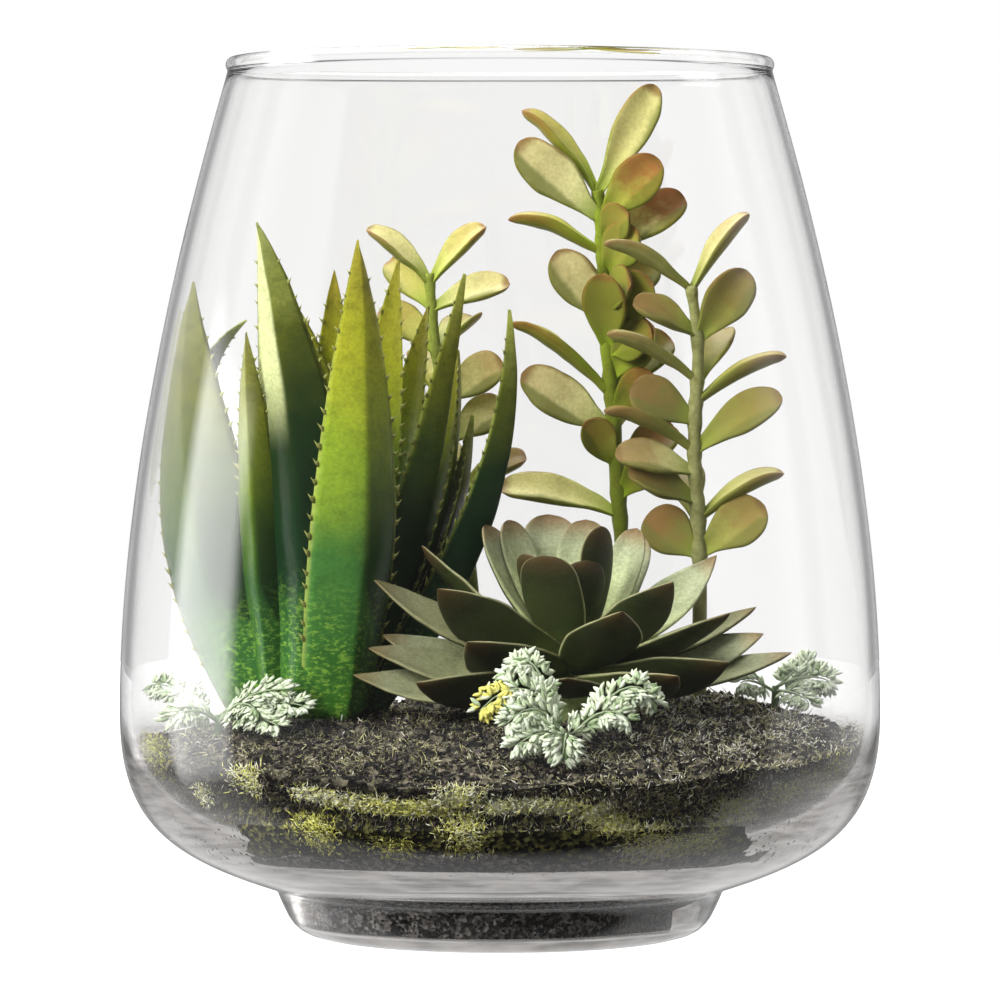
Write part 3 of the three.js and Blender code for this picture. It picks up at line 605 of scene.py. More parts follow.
def jar_inside():
    """The inner profile from the floor's middle up to the rim, in (radius, height)."""
    side = BELLY_RADIUS - WALL
    foot = np.array([(0, FLOOR_HEIGHT), (40, FLOOR_HEIGHT), (52, FLOOR_HEIGHT), (53.9, 4.8), (54.7, 8),
                     (55.4, 13), (56.4, 17.5)], float)
    shoulder = cubic_points((59, 21.2), (88, 26.4), (side, 36.5), (side, BELLY_HEIGHT + 1), 18)
    neck = (NECK[0] - NECK_WALL, NECK[1])
    wall = cubic_points((side, BELLY_HEIGHT + 1), (side, 121), (86.3, 186), neck, 22)
    return np.concatenate([foot, shoulder, wall[1:]])


def jar_outside():
    """The outer profile from the foot's middle up to the neck, and the rolled rim's arc over the top."""
    foot = np.array([(0, 0), (FOOT_RADIUS, 0), (54.5, 1.2), (57.5, 4), (60, 9)], float)
    shoulder = cubic_points(FOOT_TOP, (91, 22.1), (BELLY_RADIUS, 31), (BELLY_RADIUS, BELLY_HEIGHT), 20)
    wall = cubic_points((BELLY_RADIUS, BELLY_HEIGHT), (BELLY_RADIUS, 121), (89.1, 186), NECK, 22)
    angle = np.radians(np.linspace(-40, 220, 14))
    rim = RIM_CENTRE + RIM_BEAD * np.stack([np.cos(angle), np.sin(angle)], axis=1)
    return np.concatenate([foot, shoulder, wall[1:], rim])


def glass_jar():
    """The whole profile spun, with a slow waviness of a few hundredths of a millimetre in the radius.

    The outside low down is painted, because the glass there lets trapped light out.
    """
    outside = np.insert(jar_outside(), 2, 1.0, axis=1)
    inside = np.insert(jar_inside()[::-1], 2, 0.0, axis=1)
    radius, height, outer = rounded(np.concatenate([outside, inside]))[1:-1].T[..., None]
    grid = round_axis(circle(JAR_COLUMNS), radius, height)
    sway = JAR_SWAY * noise(grid, 38.0, 5, 2)[..., None]
    grid[..., :2] -= unit(grid[..., :2]) * np.abs(sway)
    shoulder = outer * (1.0 - smoothstep(*SHOULDER_FADE, height))
    part = skins(grid[None], np.zeros((1, 3)), FLOOR_HEIGHT * UP[None], shoulder=shoulder)
    piece("jar_glass", part, clear_glass(), "glass_jar")


def pressed(height):
    """Whole round the outer half of the shoulder, and none in the foot or up the wall."""
    return band(height, *PRESSED_BAND)


def soil_wall():
    """The jar's inner profile moved inwards by the clearance, square to the glass, and less where pressed."""
    inside = jar_inside()
    along = unit(inside[2:] - inside[:-2])
    clearance = SOIL_CLEARANCE - PRESSED * pressed(inside[1:-1, 1])
    return inside[1:-1] + clearance[:, None] * np.stack([-along[:, 1], along[:, 0]], axis=-1)


SOIL_WALL = soil_wall()


def wall_reach(height):
    """How far the soil reaches to the glass at a height, read from the wall's profile."""
    return np.interp(height, SOIL_WALL[:, 1], SOIL_WALL[:, 0])


def ripple(x, y, turn):
    """Two crossed waves, about 48 and 25 mm long, the second at 0.6 of the first."""
    return np.sin(0.11 * x + 0.07 * y + turn) + 0.6 * np.sin(0.19 * x - 0.16 * y + 2 * turn)


def soil_top(x, y):
    """Highest in the middle, lower towards the glass and the front, with a hump at the right."""
    out = np.hypot(x, y) / BED_RADIUS
    front = np.maximum(0, -y) / BED_RADIUS
    left = np.maximum(0, -x) / BED_RADIUS
    hump = 6 * np.exp(-((x - 62) ** 2 + (y + 5) ** 2) / 900)
    return 61 - 7 * out ** 2 - 5 * front ** 2 - 2 * left ** 2 + hump + 0.5 * ripple(x, y, 0.4)


def moss_top(x, y):
    """Where the moss ends: a rippled level that rises a little towards the glass."""
    return 42 + 2.5 * (np.hypot(x, y) / BED_RADIUS) ** 2 + 1.3 * ripple(x, y, 1.9)


def moss_foot(x, y):
    """Where the moss begins: a rippled level."""
    return 31.5 + 1.1 * ripple(x, y, 3.1)


def pot_foot(x, y):
    """The flat underside of the soil in the foot."""
    return np.full(np.shape(x), SOIL_WALL[0, 1] - LAYER_GAP / 2)


def slump(bearing, height):
    """How far the foot's soil stands back from the glass, at the right below the shoulder."""
    facing = np.maximum(0, np.cos(bearing + 0.35)) ** 6
    return SLUMP * facing * (1 - smoothstep(*SLUMP_TOP, height))


def layer_grid(below, above, flat_rows, wall_rows, top_rows):
    """One layer from wall to wall: out along its underside, up its wall and back along its top."""
    bearing = circle(BED_COLUMNS)

    def surface(shape, shares, lift):
        reach = np.full(BED_COLUMNS, BED_RADIUS)
        for _ in range(4):
            reach = wall_reach(shape(reach * np.cos(bearing), reach * np.sin(bearing)))
        flat = round_axis(bearing, shares[:, None] * reach)
        return flat + (shape(flat[..., 0], flat[..., 1]) + lift)[..., None] * UP

    under = surface(below, np.linspace(0.04, 1.0, flat_rows), LAYER_GAP / 2)
    over = surface(above, np.linspace(1.0, 0.015, top_rows), -LAYER_GAP / 2)
    share = np.linspace(0.0, 1.0, wall_rows)[1:-1, None]
    height = under[-1, :, 2] * (1 - share) + over[0, :, 2] * share
    wall = round_axis(bearing, wall_reach(height) - slump(bearing, height), height)
    under[-1, :, :2] *= 1 - (slump(bearing, under[-1, :, 2]) / from_axis(under[-1]))[:, None]
    return np.concatenate([under, wall, over])


def wall_dent(places):
    """How far the bed stands back from the glass: clods by noise, and a hollow behind the moss.

    The profile is pressed to the glass all round the shoulder. Here the pressing is taken back away from
    the front, and the clods are smoothed away at the front.
    """
    height = places[..., 2]
    aside = np.abs(np.arctan2(places[..., 0], -places[..., 1])) + 0.08 * noise(places, 6.0, 31, 2)
    closed = pressed(height) * (1 - smoothstep(PRESSED_TO, PRESSED_TO + 0.3, aside))
    opened = PRESSED * (pressed(height) - closed)
    clods = (1 - closed) * (DENT + DENT_CLODS * np.abs(noise(places, 9.0, 3, 3)))
    hollow = MOSS_DENT + MOSS_CLODS * np.abs(noise(places, 6.0, 21, 2))
    return opened + clods + band(height, *MOSSY_BAND) * hollow


def top_lumps(x, y):
    """How far clods raise or sink the bed's top."""
    places = points_at(x, y)
    return 1.5 * noise(places, 12.0, 48, 2) + noise(places, 4.5, 57, 2)


def roughened(grid, first_top_row):
    """A layer's grid with its wall set back by the dents, and the rows of an open top lifted by lumps."""
    out = from_axis(grid)
    at_wall = smoothstep(0.9, 0.985, out / np.maximum(wall_reach(grid[..., 2]), 1.0))
    pushed = grid.copy()
    pushed[..., :2] *= (1 - at_wall * wall_dent(grid) / np.maximum(out, 1.0))[..., None]
    top = slice(first_top_row, None)
    pushed[top, :, 2] += top_lumps(grid[top, :, 0], grid[top, :, 1]) * (1 - 0.7 * at_wall[top])
    return pushed


# Each layer: name, underside, top, rows of its underside, wall and top, whether its top is open,
# slot, node, and its finish's dark and light colours, grain size and light share
LAYERS = [
    ("foot_soil", pot_foot, moss_foot, 10, 60, 8, False, "dark_soil", "potting_soil",
     (52, 50, 49), (160, 155, 150), 1.1, 0.55),
    ("moss_bank", moss_foot, moss_top, 8, 26, 8, False, "moss", "moss_layer",
     (24, 24, 16), (140, 138, 80), 1.2, 0.5),
    ("mound_soil", moss_top, soil_top, 8, 12, MOUND_ROWS, True, "top_soil", "soil_mound",
     (18, 17, 17), (118, 112, 94), 1.7, 0.5),
]


def bed():
    """The three layers of the bed, each a closed body."""
    for name, below, above, flat, wall, top, open_top, slot, node, *look in LAYERS:
        grid = layer_grid(below, above, flat, wall, top)
        rough = roughened(grid, len(grid) - top if open_top else len(grid))
        part = skins(rough[None], rough[0].mean(axis=0)[None], rough[-1].mean(axis=0)[None])
        piece(name, part, soil_finish(name, *look), node)


def crumbs(centres, sizes, tones):
    """Small clods: six-cornered lumps, each corner pushed in or out and each clod turned at random."""
    count = len(centres)
    corners = np.array([(1, 0, 0), (0, 1, 0), (-1, 0, 0), (0, -1, 0), (0, 0, 1), (0, 0, -1)], float) * 0.55
    shaken = corners[None] * (1 + 0.7 * (chance.random((count, 6, 1)) - 0.5))
    axes = np.broadcast_to(unit(chance.normal(size=(count, 1, 3))), shaken.shape)
    angles = np.broadcast_to(chance.random((count, 1)) * 2 * np.pi, (count, 6))
    places = centres[:, None] + sizes[:, None, None] * turned(shaken, axes, angles)
    ring = np.arange(4)
    after = (ring + 1) % 4
    sides = np.concatenate([points_at(ring, after, 4), points_at(after, ring, 5)])
    caps = (sides[None] + (np.arange(count) * 6)[:, None, None]).reshape(-1, 3)
    return facing_out({"places": places.reshape(-1, 3), "quads": np.zeros((0, 4), int), "caps": caps,
                       "paint": {"tone": np.repeat(tones, 6)}})


def strands(roots, headings, lengths, bends, thick, tones, stations):
    """Bent needles of three sides: root + heading s + bend s^2, thinning to a point."""
    shares = np.array(stations)
    along = headings * lengths[:, None]
    centre = roots[:, None] + along[:, None] * shares[:, None] + bends[:, None] * (shares ** 2)[:, None]
    side = unit(np.cross(headings, np.array([0.31, 0.22, 0.93])))
    size = thick[:, None] * (1.0 - 0.4 * shares)
    ring = rings(side, np.cross(side, headings), 3)
    grids = centre[:, :, None] + ring[:, None] * size[:, :, None, None]
    return skins(grids, roots, roots + along + bends, tone=tones[:, None, None], along=shares[None, :, None])


def scatter_on_top(count, keep):
    """Random places on the soil's top, evenly over its area, kept where keep(x, y) beats a draw."""
    reach = BED_RADIUS * np.sqrt(chance.random(count))
    bearing = chance.random(count) * 2 * np.pi
    x, y = reach * np.cos(bearing), reach * np.sin(bearing)
    kept = chance.random(count) < keep(x, y)
    return x[kept], y[kept]


def scatter_on_wall(count, low, high, spread=None):
    """Random bearings and heights on the soil's wall, and its reach there.

    A spread of (bearing, half width) in degrees gathers them about that bearing and the middle height.
    """
    if spread is None:
        bearing = chance.random(count) * 2 * np.pi
        height = low + (high - low) * chance.random(count)
    else:
        bearing = np.radians(spread[0] + spread[1] * chance.normal(size=count))
        height = 0.5 * (low + high) + 0.5 * (high - low) * np.clip(0.6 * chance.normal(size=count), -1, 1)
    return bearing, height, wall_reach(height) - slump(bearing, height)


# Loose crumbs: how many are tried on the top, and for each band of the wall its name, count, heights and slot
TOP_CRUMBS = 8000
WALL_CRUMBS = [("wall_crumbs", 7000, 24.0, 54.0, "moss"), ("foot_crumbs", 3600, 5.8, 24.0, "dark_soil")]


def soil_crumbs():
    """Crumbs over the top and against the glass, mostly dark, a few pale."""
    x, y = scatter_on_top(TOP_CRUMBS, lambda x, y: 0.35 + 0.65 * (y < 10))
    size = 0.5 + 1.2 * chance.random(len(x)) ** 2.5
    top = points_at(x, y, soil_top(x, y) + top_lumps(x, y) + 0.15 * size)
    inside = from_axis(top) < wall_reach(top[:, 2]) - 2.2
    finish = crumb_finish()
    tones = chance.random(len(x)) ** 1.5
    piece("top_crumbs", crumbs(top[inside], size[inside], tones[inside]), finish, smooth=False)

    for name, count, low, high, slot in WALL_CRUMBS:
        bearing, height, reach = scatter_on_wall(count, low, high)
        size = 0.6 + 1.1 * chance.random(count) ** 2
        wall = round_axis(bearing, reach, height)
        under = height < soil_top(wall[:, 0], wall[:, 1]) - 0.5
        inset = np.maximum(wall_dent(wall) - 0.2 * size, 0.8 * size)
        wall = round_axis(bearing, reach - inset, height)
        tones = chance.random(count) ** 1.5
        piece(name, crumbs(wall[under], size[under], tones[under]), finish, smooth=False)


# Tufts of moss at the front: bearing from the front and half breadth in degrees, lowest and highest,
# strands before growth, and how yellow
MOSS_TUFTS = [
    (-29.5, 3.2, 44, 47.6, 520, 0.95), (-25, 3.0, 42.5, 46.5, 520, 0.9), (-20, 3.5, 41.5, 45.5, 560, 0.8),
    (-14.5, 3.0, 41, 44.5, 480, 0.7), (-10.5, 2.5, 41, 45, 360, 0.75), (-6, 3.5, 43, 48.5, 560, 0.95),
    (-5.5, 2.8, 32, 41.5, 760, 0.75), (0.5, 3.2, 41.8, 45, 420, 0.95), (6, 3.2, 42, 45.3, 420, 1.0),
    (10, 2.5, 41.5, 45, 300, 0.9), (14.5, 2.6, 39, 43.5, 420, 0.85), (18.5, 2.6, 36.5, 41, 420, 0.75),
    (23.5, 3.6, 30.5, 38, 820, 0.85), (28.5, 3.0, 31, 36, 480, 0.75), (33.5, 3.0, 31.5, 36, 420, 0.65),
    (38.5, 2.6, 38, 43.5, 460, 0.95), (42, 2.2, 38.5, 43.5, 300, 0.9), (36, 2.5, 33, 38, 240, 0.5),
    (50, 3.2, 41, 47, 300, 0.7), (56, 3.0, 43, 49, 220, 0.6), (-41.5, 2.6, 45, 51.5, 420, 0.85),
    (-30, 3.4, 32, 40, 620, 0.5), (-17.5, 3.5, 31, 36, 340, 0.4), (-53.5, 2.0, 40.5, 45.3, 200, 1.0),
    (-66, 5.0, 46, 57, 400, 0.1), (64, 5.0, 43, 52, 260, 0.5), (78, 6.0, 42, 52, 300, 0.45),
]
MOSS_GROWTH = 1.7
MOSS_COLOURS = [(0.0, 136, 140, 56), (0.3, 206, 208, 86), (0.6, 248, 246, 130), (0.85, 252, 250, 176),
                (1.0, 254, 254, 232)]
BACK_TUFTS = 20
TUFT_STATIONS = (0.4,)


def tufts(spots):
    """Bent strands in tufts against the glass, rooted in the dents and held inside the wall."""
    sets = []
    for bearing, half, low, high, count, yellow in spots:
        turn, height, reach = scatter_on_wall(count, low, high, (bearing - 90, half * 0.62))
        dent = wall_dent(round_axis(turn, reach, height))
        inset = 0.3 - 0.25 * pressed(height) + dent * chance.random(count) ** 0.7
        root = round_axis(turn, reach - inset, height)
        outward = 0.3 * round_axis(turn) * chance.random((count, 1))
        around = 0.8 * round_axis(turn + np.pi / 2) * chance.normal(size=(count, 1))
        heading = unit(outward + around + UP * (0.35 + 0.6 * chance.normal(size=(count, 1))))
        length = 0.6 + 2.0 * chance.random(count) ** 1.8
        bend = 0.5 * chance.normal(size=(count, 3))
        tone = np.clip(yellow + 0.24 * chance.normal(size=count), 0, 1)
        sets.append((root, heading, length, bend, 0.12 + 0.1 * chance.random(count), tone))
    root, heading, length, bend, thick, tone = (np.concatenate(column) for column in zip(*sets))
    tip = root + heading * length[:, None] + bend
    limit = wall_reach(np.clip(tip[:, 2], 12, 200)) - 0.02
    bend[:, :2] -= unit(tip[:, :2]) * np.maximum(0, from_axis(tip) - limit)[:, None]
    return strands(root, heading, length, bend, thick, tone, TUFT_STATIONS)


def moss():
    """Tufts against the glass at the front, given one by one, and others at random bearings behind."""
    behind = []
    for i, draw in enumerate(chance.random(BACK_TUFTS)):
        low = 33 + 9 * chance.random()
        behind.append((100 + 160 * (i + draw) / BACK_TUFTS, 5.0, low, low + 6, 300, 0.3 + 0.6 * draw))
    finish = strand_finish("moss_strand", 0.2, *MOSS_COLOURS)
    front = [(*place, int(MOSS_GROWTH * count), yellow) for *place, count, yellow in MOSS_TUFTS]
    piece("front_moss", tufts(front), finish)
    piece("back_moss", tufts(behind), finish)


# Lint on the mound: name, how many are tried, shortest, longest, how upright, and the stations of a strand
LINT = [("golden_fibres", 15000, 0.8, 3.4, 0.7, (0.0, 0.6)), ("short_lint", 49000, 0.5, 1.5, 0.6, (0.35,))]
LINT_COLOURS = [(0.0, 34, 32, 32), (0.2, 72, 69, 62), (0.4, 122, 118, 82), (0.55, 148, 140, 122),
                (0.72, 190, 186, 126), (0.88, 230, 228, 184), (1.0, 252, 250, 242)]

# Lint against the glass: how many in each tuft, and their tone at the left and at the right
WALL_LINT = 800
WALL_LINT_TONES = (0.15, 0.62)


def lint_amount(x, y):
    """Where the mound's lint is thickest: in patches, more at the front and less beside the glass."""
    patch = smoothstep(-0.3, 0.15, noise(points_at(x, y), 9.0, 83, 2))
    hump = np.exp(-((x - 58) ** 2 + (y + 20) ** 2) / 1600)
    edge = 1 - 0.5 * smoothstep(0.84, 0.93, np.hypot(x, y) / BED_RADIUS)
    return np.clip((0.16 + 0.84 * patch + 0.4 * hump) * edge, 0, 1) * np.where(y < 20, 1, 0.3)


def lint(count, shortest, longest, rise, stations):
    """Fibres on the mound, with their tones in patches and paler at the right, and none past the glass."""
    x, y = scatter_on_top(count, lint_amount)
    count = len(x)
    root = points_at(x, y, soil_top(x, y) + top_lumps(x, y) - 0.1)
    heading = unit(chance.normal(size=(count, 3)) * np.array([1, 1, 0.6]) + rise * UP)
    length = shortest + (longest - shortest) * chance.random(count) ** 3
    bend = 0.45 * length[:, None] * chance.normal(size=(count, 3)) * np.array([1.0, 1.0, 0.6])
    tip = root + heading * length[:, None] + bend
    inside = (from_axis(tip) < wall_reach(tip[:, 2]) - 0.5) & (from_axis(root) < wall_reach(root[:, 2]) - 1.0)
    patch = 0.5 + 0.5 * noise(points_at(x, y), 6.0, 77, 2)
    tone = 0.8 * chance.random(count) ** 1.2 + 0.5 * patch - 0.14 + 0.32 * smoothstep(10, 60, x)
    thick = 0.13 + 0.1 * chance.random(count)
    kept = [column[inside] for column in (root, heading, length, bend, thick, np.clip(tone, 0, 1))]
    return strands(*kept, stations)


def golden_fibres():
    """Longer curled fibres in a mat of short lint over the mound, and dull lint against the glass."""
    finish = strand_finish("golden_fibre", 0.25, *LINT_COLOURS)
    for name, *amounts in LINT:
        piece(name, lint(*amounts), finish)
    spots = []
    for bearing in range(-84, 90, 12):
        x, y, _ = round_axis(math.radians(bearing - 90), 96)
        spots.append((bearing, 11.0, 38.0, soil_top(x, y), WALL_LINT, WALL_LINT_TONES[bearing > 10]))
    piece("wall_lint", tufts(spots), finish)


def blade_frames(leaves, share):
    """Centres, headings, sides and outward arrows along each blade, at its shares (leaf, station).

    A centre is on the quadratic curve that passes through the belly at its middle, and a side is the
    heading crossed with the face.
    """
    root, tip = leaves["root"][:, None], leaves["tip"][:, None]
    control = 2 * leaves["belly"][:, None] - 0.5 * (root + tip)
    share = share[..., None]
    rest = 1.0 - share
    centre = rest ** 2 * root + 2 * rest * share * control + share ** 2 * tip
    along = unit(rest * (control - root) + share * (tip - control))
    side = unit(np.cross(along, leaves["face"][:, None]))
    return centre, along, side, unit(np.cross(side, along))


def blades(leaves, shares, width, depth, section, thick, cup, wave):
    """Blades as a grid (leaf, row, corner): centre + side * half width * across + out * (cup + thickness).

    The section's corners are (across, through) in half widths and half thicknesses. The wave is the
    height, size and seed of the noise that ripples them.
    """
    share = np.broadcast_to(shares, (len(leaves["root"]), len(shares)))
    centre, _, side, out = blade_frames(leaves, share)
    across, through = section[:, 0], section[:, 1]
    sideways = (0.5 * leaves["wide"][:, None] * width(share))[..., None] * across
    raised = cup * across ** 2 * width(share)[..., None] + 0.5 * thick * through * depth(share)[..., None]
    grids = centre[:, :, None] + side[:, :, None] * sideways[..., None] + out[:, :, None] * raised[..., None]
    return grids + wave[0] * noise(grids, *wave[1:], 2)[..., None]


def leaf_skins(grids, leaves, shares, section, names, **paint):
    """Skins over blades, painted with their share along, their place across and their own named columns."""
    own = {name: leaves[name][:, None, None] for name in names}
    return skins(grids, leaves["root"], leaves["tip"], along=shares[None, :, None], across=section[:, 0],
                 **own, **paint)


def table(rows, *names):
    """Columns of a list of rows, by name, as arrays."""
    return {name: np.array([row[i] for row in rows], float) for i, name in enumerate(names)}


def column(place, low, high, radius):
    """A round peg below a plant, with its top drawn in."""
    share = np.linspace(0, 1, 6)[:, None]
    grid = round_axis(circle(20), radius * (1 - 0.35 * share ** 3), low + (high - low) * share)
    grid[..., :2] += place
    return skins(grid[None], np.array([[*place, low]]), np.array([[*place, high]]))


# Aloe leaves: tip, belly, breadth, bearing of the back in degrees, how ripe, painted shade and painted
# highlight strip
ALOE_LEAVES = [
    ((-38.5, -15, 190), (-37.5, -27, 122), 26, -62, 1.0, 0.0, 0.0),
    ((-66, -8, 195), (-54, -19, 124), 29, -116, 0.0, 0.0, 1.0),
    ((-60, 9, 178), (-47, 7, 122), 20, 120, 0.6, 0.7, 0.0),
    ((-84.5, 0, 179), (-82.5, -2, 114), 39, -130, 0.3, 0.0, 0.0),
    ((-71, 28, 168), (-87, 20, 130), 13, 150, 0.0, 0.9, 0.0),
    ((-68.5, -12, 165), (-66, -15, 116), 14, -110, 0.5, 0.0, 0.3),
    ((-46, 11, 182), (-45, 9, 122), 19, 85, 1.0, 0.3, 0.0),
    ((-28, 11, 185), (-34, 9, 124), 19, 60, 0.9, 0.8, 0.0),
    ((-20, 21, 172), (-29, 18, 120), 18, 50, 0.7, 0.9, 0.0),
    ((-10, 4, 181), (-21, 1, 122), 18, -20, 0.3, 0.9, 0.0),
    ((-12, 14, 160), (-18, 11, 116), 22, 25, 0.6, 0.6, 0.0),
    ((2, -3, 171), (-4, -1, 116), 13, -30, 0.0, 0.8, 0.0),
    ((-8, 12, 142), (-17, 8, 100), 18, 15, 0.0, 1.0, 0.0),
    ((-22, 10, 122), (-31, 4, 92), 24, 5, 0.0, 1.0, 0.0),
    ((-26, 22, 140), (-36, 16, 100), 22, 60, 0.0, 1.0, 0.0),
    ((-12, 14, 116), (-27, 8, 86), 24, 20, 0.0, 1.0, 0.0),
    ((-4, 22, 112), (-20, 16, 84), 22, 40, 0.0, 1.0, 0.0),
]
ALOE_THICK = 9.0
ALOE_CUP = 3.4
ALOE_ROOT = 60.0
ALOE_CROWN = 12.0
ALOE_CROWN_SHIFT = -3.0
TOOTH_PITCH = 4.0
TOOTH_LENGTH = 2.4


def aloe_width(share):
    """Broad at the foot, fullest below the middle, then tapering to a long point."""
    rising = 0.78 + 0.22 * np.sin(np.pi / 2 * np.minimum(share, 0.4) / 0.4)
    late = np.clip((share - 0.4) / 0.6, 0, 1)
    return rising * (1 - late ** 1.7) ** 0.92


def aloe_depth(share):
    """Full at the foot and 0.15 of it at the tip, in a straight line."""
    return 1 - 0.85 * share


def aloe_section():
    """A hollow upper face, 0.1(1 - a^2), and a keeled lower one, -1.3(1 - |a|^1.1), closer near the keel."""
    spread = np.linspace(-1, 1, 17)
    spread = np.sign(spread) * np.abs(spread) ** 1.35
    lower = spread[::-1][1:-1]
    return np.stack([np.concatenate([spread, lower]),
                     np.concatenate([0.1 * (1 - spread ** 2), -1.3 * (1 - np.abs(lower) ** 1.1)])], axis=-1)


def aloe_teeth(leaves):
    """Small hooked cones along both edges of each leaf, leaning to the tip and smaller towards it."""
    length = np.linalg.norm(leaves["tip"] - leaves["root"], axis=-1)
    teeth = int(0.8 * length.mean() / TOOTH_PITCH)
    share = 0.16 + 0.79 * (np.arange(teeth)[None] + 0.35 * chance.random((len(length), teeth))) / teeth
    share = np.concatenate([share, share + 0.01], axis=1)
    edge = np.repeat([-1.0, 1.0], teeth)[:, None]
    _, along, side, out = frames = blade_frames(leaves, share)
    half = 0.5 * leaves["wide"][:, None] * aloe_width(share) - 0.4
    lip = frames[0] + side * edge * half[..., None] + out * (ALOE_CUP * aloe_width(share))[..., None]
    size = TOOTH_LENGTH * (0.8 + 0.4 * chance.random(share.shape)) * (1.05 - 0.5 * share)
    aim = unit(side * edge + 0.5 * along) * size[..., None]
    lip, aim, along, out = (arrows.reshape(-1, 3) for arrows in (lip, aim, along, out))
    size = size.reshape(-1, 1)
    middle = lip[:, None] + aim[:, None] * np.array([[0.0], [0.45]])
    girth = (size * np.array([1.0, 0.45]))[..., None, None]
    grids = middle[:, :, None] + rings(0.55 * along, 0.26 * out, 6)[:, None] * girth
    return skins(grids, lip - 0.2 * aim, lip + aim + 0.4 * along * size)


def aloe():
    """Leaves from a ring round one crown, a peg below it and teeth along the edges."""
    leaves = table(ALOE_LEAVES, "tip", "belly", "wide", "turn", "ripe", "shade", "highlight_strip")
    crown = np.array([AXIL["aloe"][0] + ALOE_CROWN_SHIFT, AXIL["aloe"][1], ALOE_ROOT])
    aside = (leaves["belly"] - crown) * (1 - UP)
    leaves["root"] = crown + ALOE_CROWN * unit(aside)
    leaves["face"] = -round_axis(np.radians(leaves["turn"]))
    shares = 1 - (1 - np.linspace(0.01, 0.995, 50)) ** 1.05
    section = aloe_section()
    grids = blades(leaves, shares, aloe_width, aloe_depth, section, ALOE_THICK, ALOE_CUP, (0.25, 14.0, 60))
    flesh = leaf_skins(grids, leaves, shares, section, ("ripe", "shade", "highlight_strip"))
    core = column(AXIL["aloe"], PEG_FOOT, ALOE_ROOT + 5, 8.0)
    piece("aloe_leaves", joined(flesh, core), aloe_finish(), "aloe")
    piece("aloe_teeth", aloe_teeth(leaves), tooth_finish())


def fleshy_section(columns, hollow):
    """A rounded lens: sin t to the power 0.8 through, cos t across, its upper side hollowed."""
    angle = circle(columns)
    across = -np.cos(angle)
    lift = np.sin(angle)
    upper = np.where(lift > 0, 1 - hollow * (1 - across ** 2), 1.0)
    return np.stack([across, np.sign(lift) * np.abs(lift) ** 0.8 * upper], axis=-1)


# Jade leaves: height where it grows, reach (right, back, up), breadth, turn of its face from the sky
# to the front in degrees, tone, and blush
TALL_STEM = [(36, 22, 68), (33, 21, 120), (30, 20, 160), (28, 19, 196), (27, 18, 204)]
TALL_LEAVES = [
    (203, (16, -1, 30), 11, 66, 0.8, 0.1), (203, (-21, 4, 23), 9, 4, 0.5, 0.3),
    (196, (-23, -6, 21), 13, 72, 1.0, 0.2), (196, (16, -8, 16), 13, 65, 0.35, 0.95),
    (186, (23, 3, 16), 12, 55, 0.8, 1.0), (186, (-26, 2, 10), 9, 4, 0.35, 0.3),
    (168, (-14, -8, 19), 13, 75, 1.0, 0.3), (172, (14, 9, 12), 12, 55, 0.2, 0.3),
    (160, (-1, -12, 21), 13, 85, 0.1, 0.1), (160, (6, 16, 14), 12, -40, 0.5, 0.4),
    (147, (-28, -3, 20), 9, 4, 0.45, 0.2), (147, (17, 10, 16), 12, 40, 0.2, 0.3),
    (137, (-26, -5, 16), 13, 66, 1.0, 0.3), (137, (4, 17, 15), 12, -35, 0.5, 0.4),
    (122, (16, 12, 16), 12, 40, 0.0, 0.7), (114, (-34, -2, 7), 11, 42, 0.8, 0.1),
    (180, (9, -8, 13), 13, 50, 0.25, 0.2), (166, (12, -7, 13), 14, 60, 0.12, 0.1),
    (152, (12, -7, 14), 14, 50, 0.1, 0.1), (141, (12, -8, 11), 13, 60, 0.0, 0.6),
    (174, (7, -11, 4), 13, 70, 0.15, 0.1), (159, (12, -9, 4), 13, 65, 0.08, 0.2),
    (190, (7, -8, 8), 11, 60, 0.2, 0.3),
    (128, (-9, -9, 12), 10, 60, 0.3, 0.4), (119, (12, -8, 12), 11, 55, 0.0, 0.5),
]
RIGHT_STEM = [(55, 8, 68), (55, 6, 104), (53.5, 5, 133), (54.5, 5, 160), (52.5, 4, 177.5)]
RIGHT_LEAVES = [
    (176, (16, 1, 21), 8, 6, 0.8, 0.4), (176, (-24, -5, 13), 8, 6, 0.9, 0.0),
    (163, (13, -6, 19), 13, 80, 0.35, 0.5), (164, (-18, -6, 8), 11, 42, 0.3, 0.8),
    (151, (-25, -6, 13), 8, 10, 0.85, 0.0), (151, (8, 14, 15), 12, -30, 0.5, 0.5),
    (145, (25, -1, 13), 8, 6, 0.4, 0.5), (140, (-18, -2, 9), 13, 60, 0.0, 0.6),
    (132, (24, -4, 15), 12, 48, 0.25, 0.4), (132, (-25, -7, 11), 8, 8, 0.35, 0.7),
    (126, (-22, -6, 5), 11, 50, 0.85, 0.7), (118, (-19, -7, 8), 11, 50, 0.0, 0.5),
    (113, (24, 0, 13), 9, 12, 0.5, 0.2), (113, (-4, 15, 13), 11, -30, 0.5, 0.5),
    (104, (-14, 2, 11), 14, 80, 0.1, 0.9), (104, (18, -3, 13), 14, 60, 0.45, 0.6),
]
BACK_STEM = [(-6, 36, 68), (-9, 36, 104), (-14, 36, 132), (-18, 35, 160), (-20, 35, 181)]
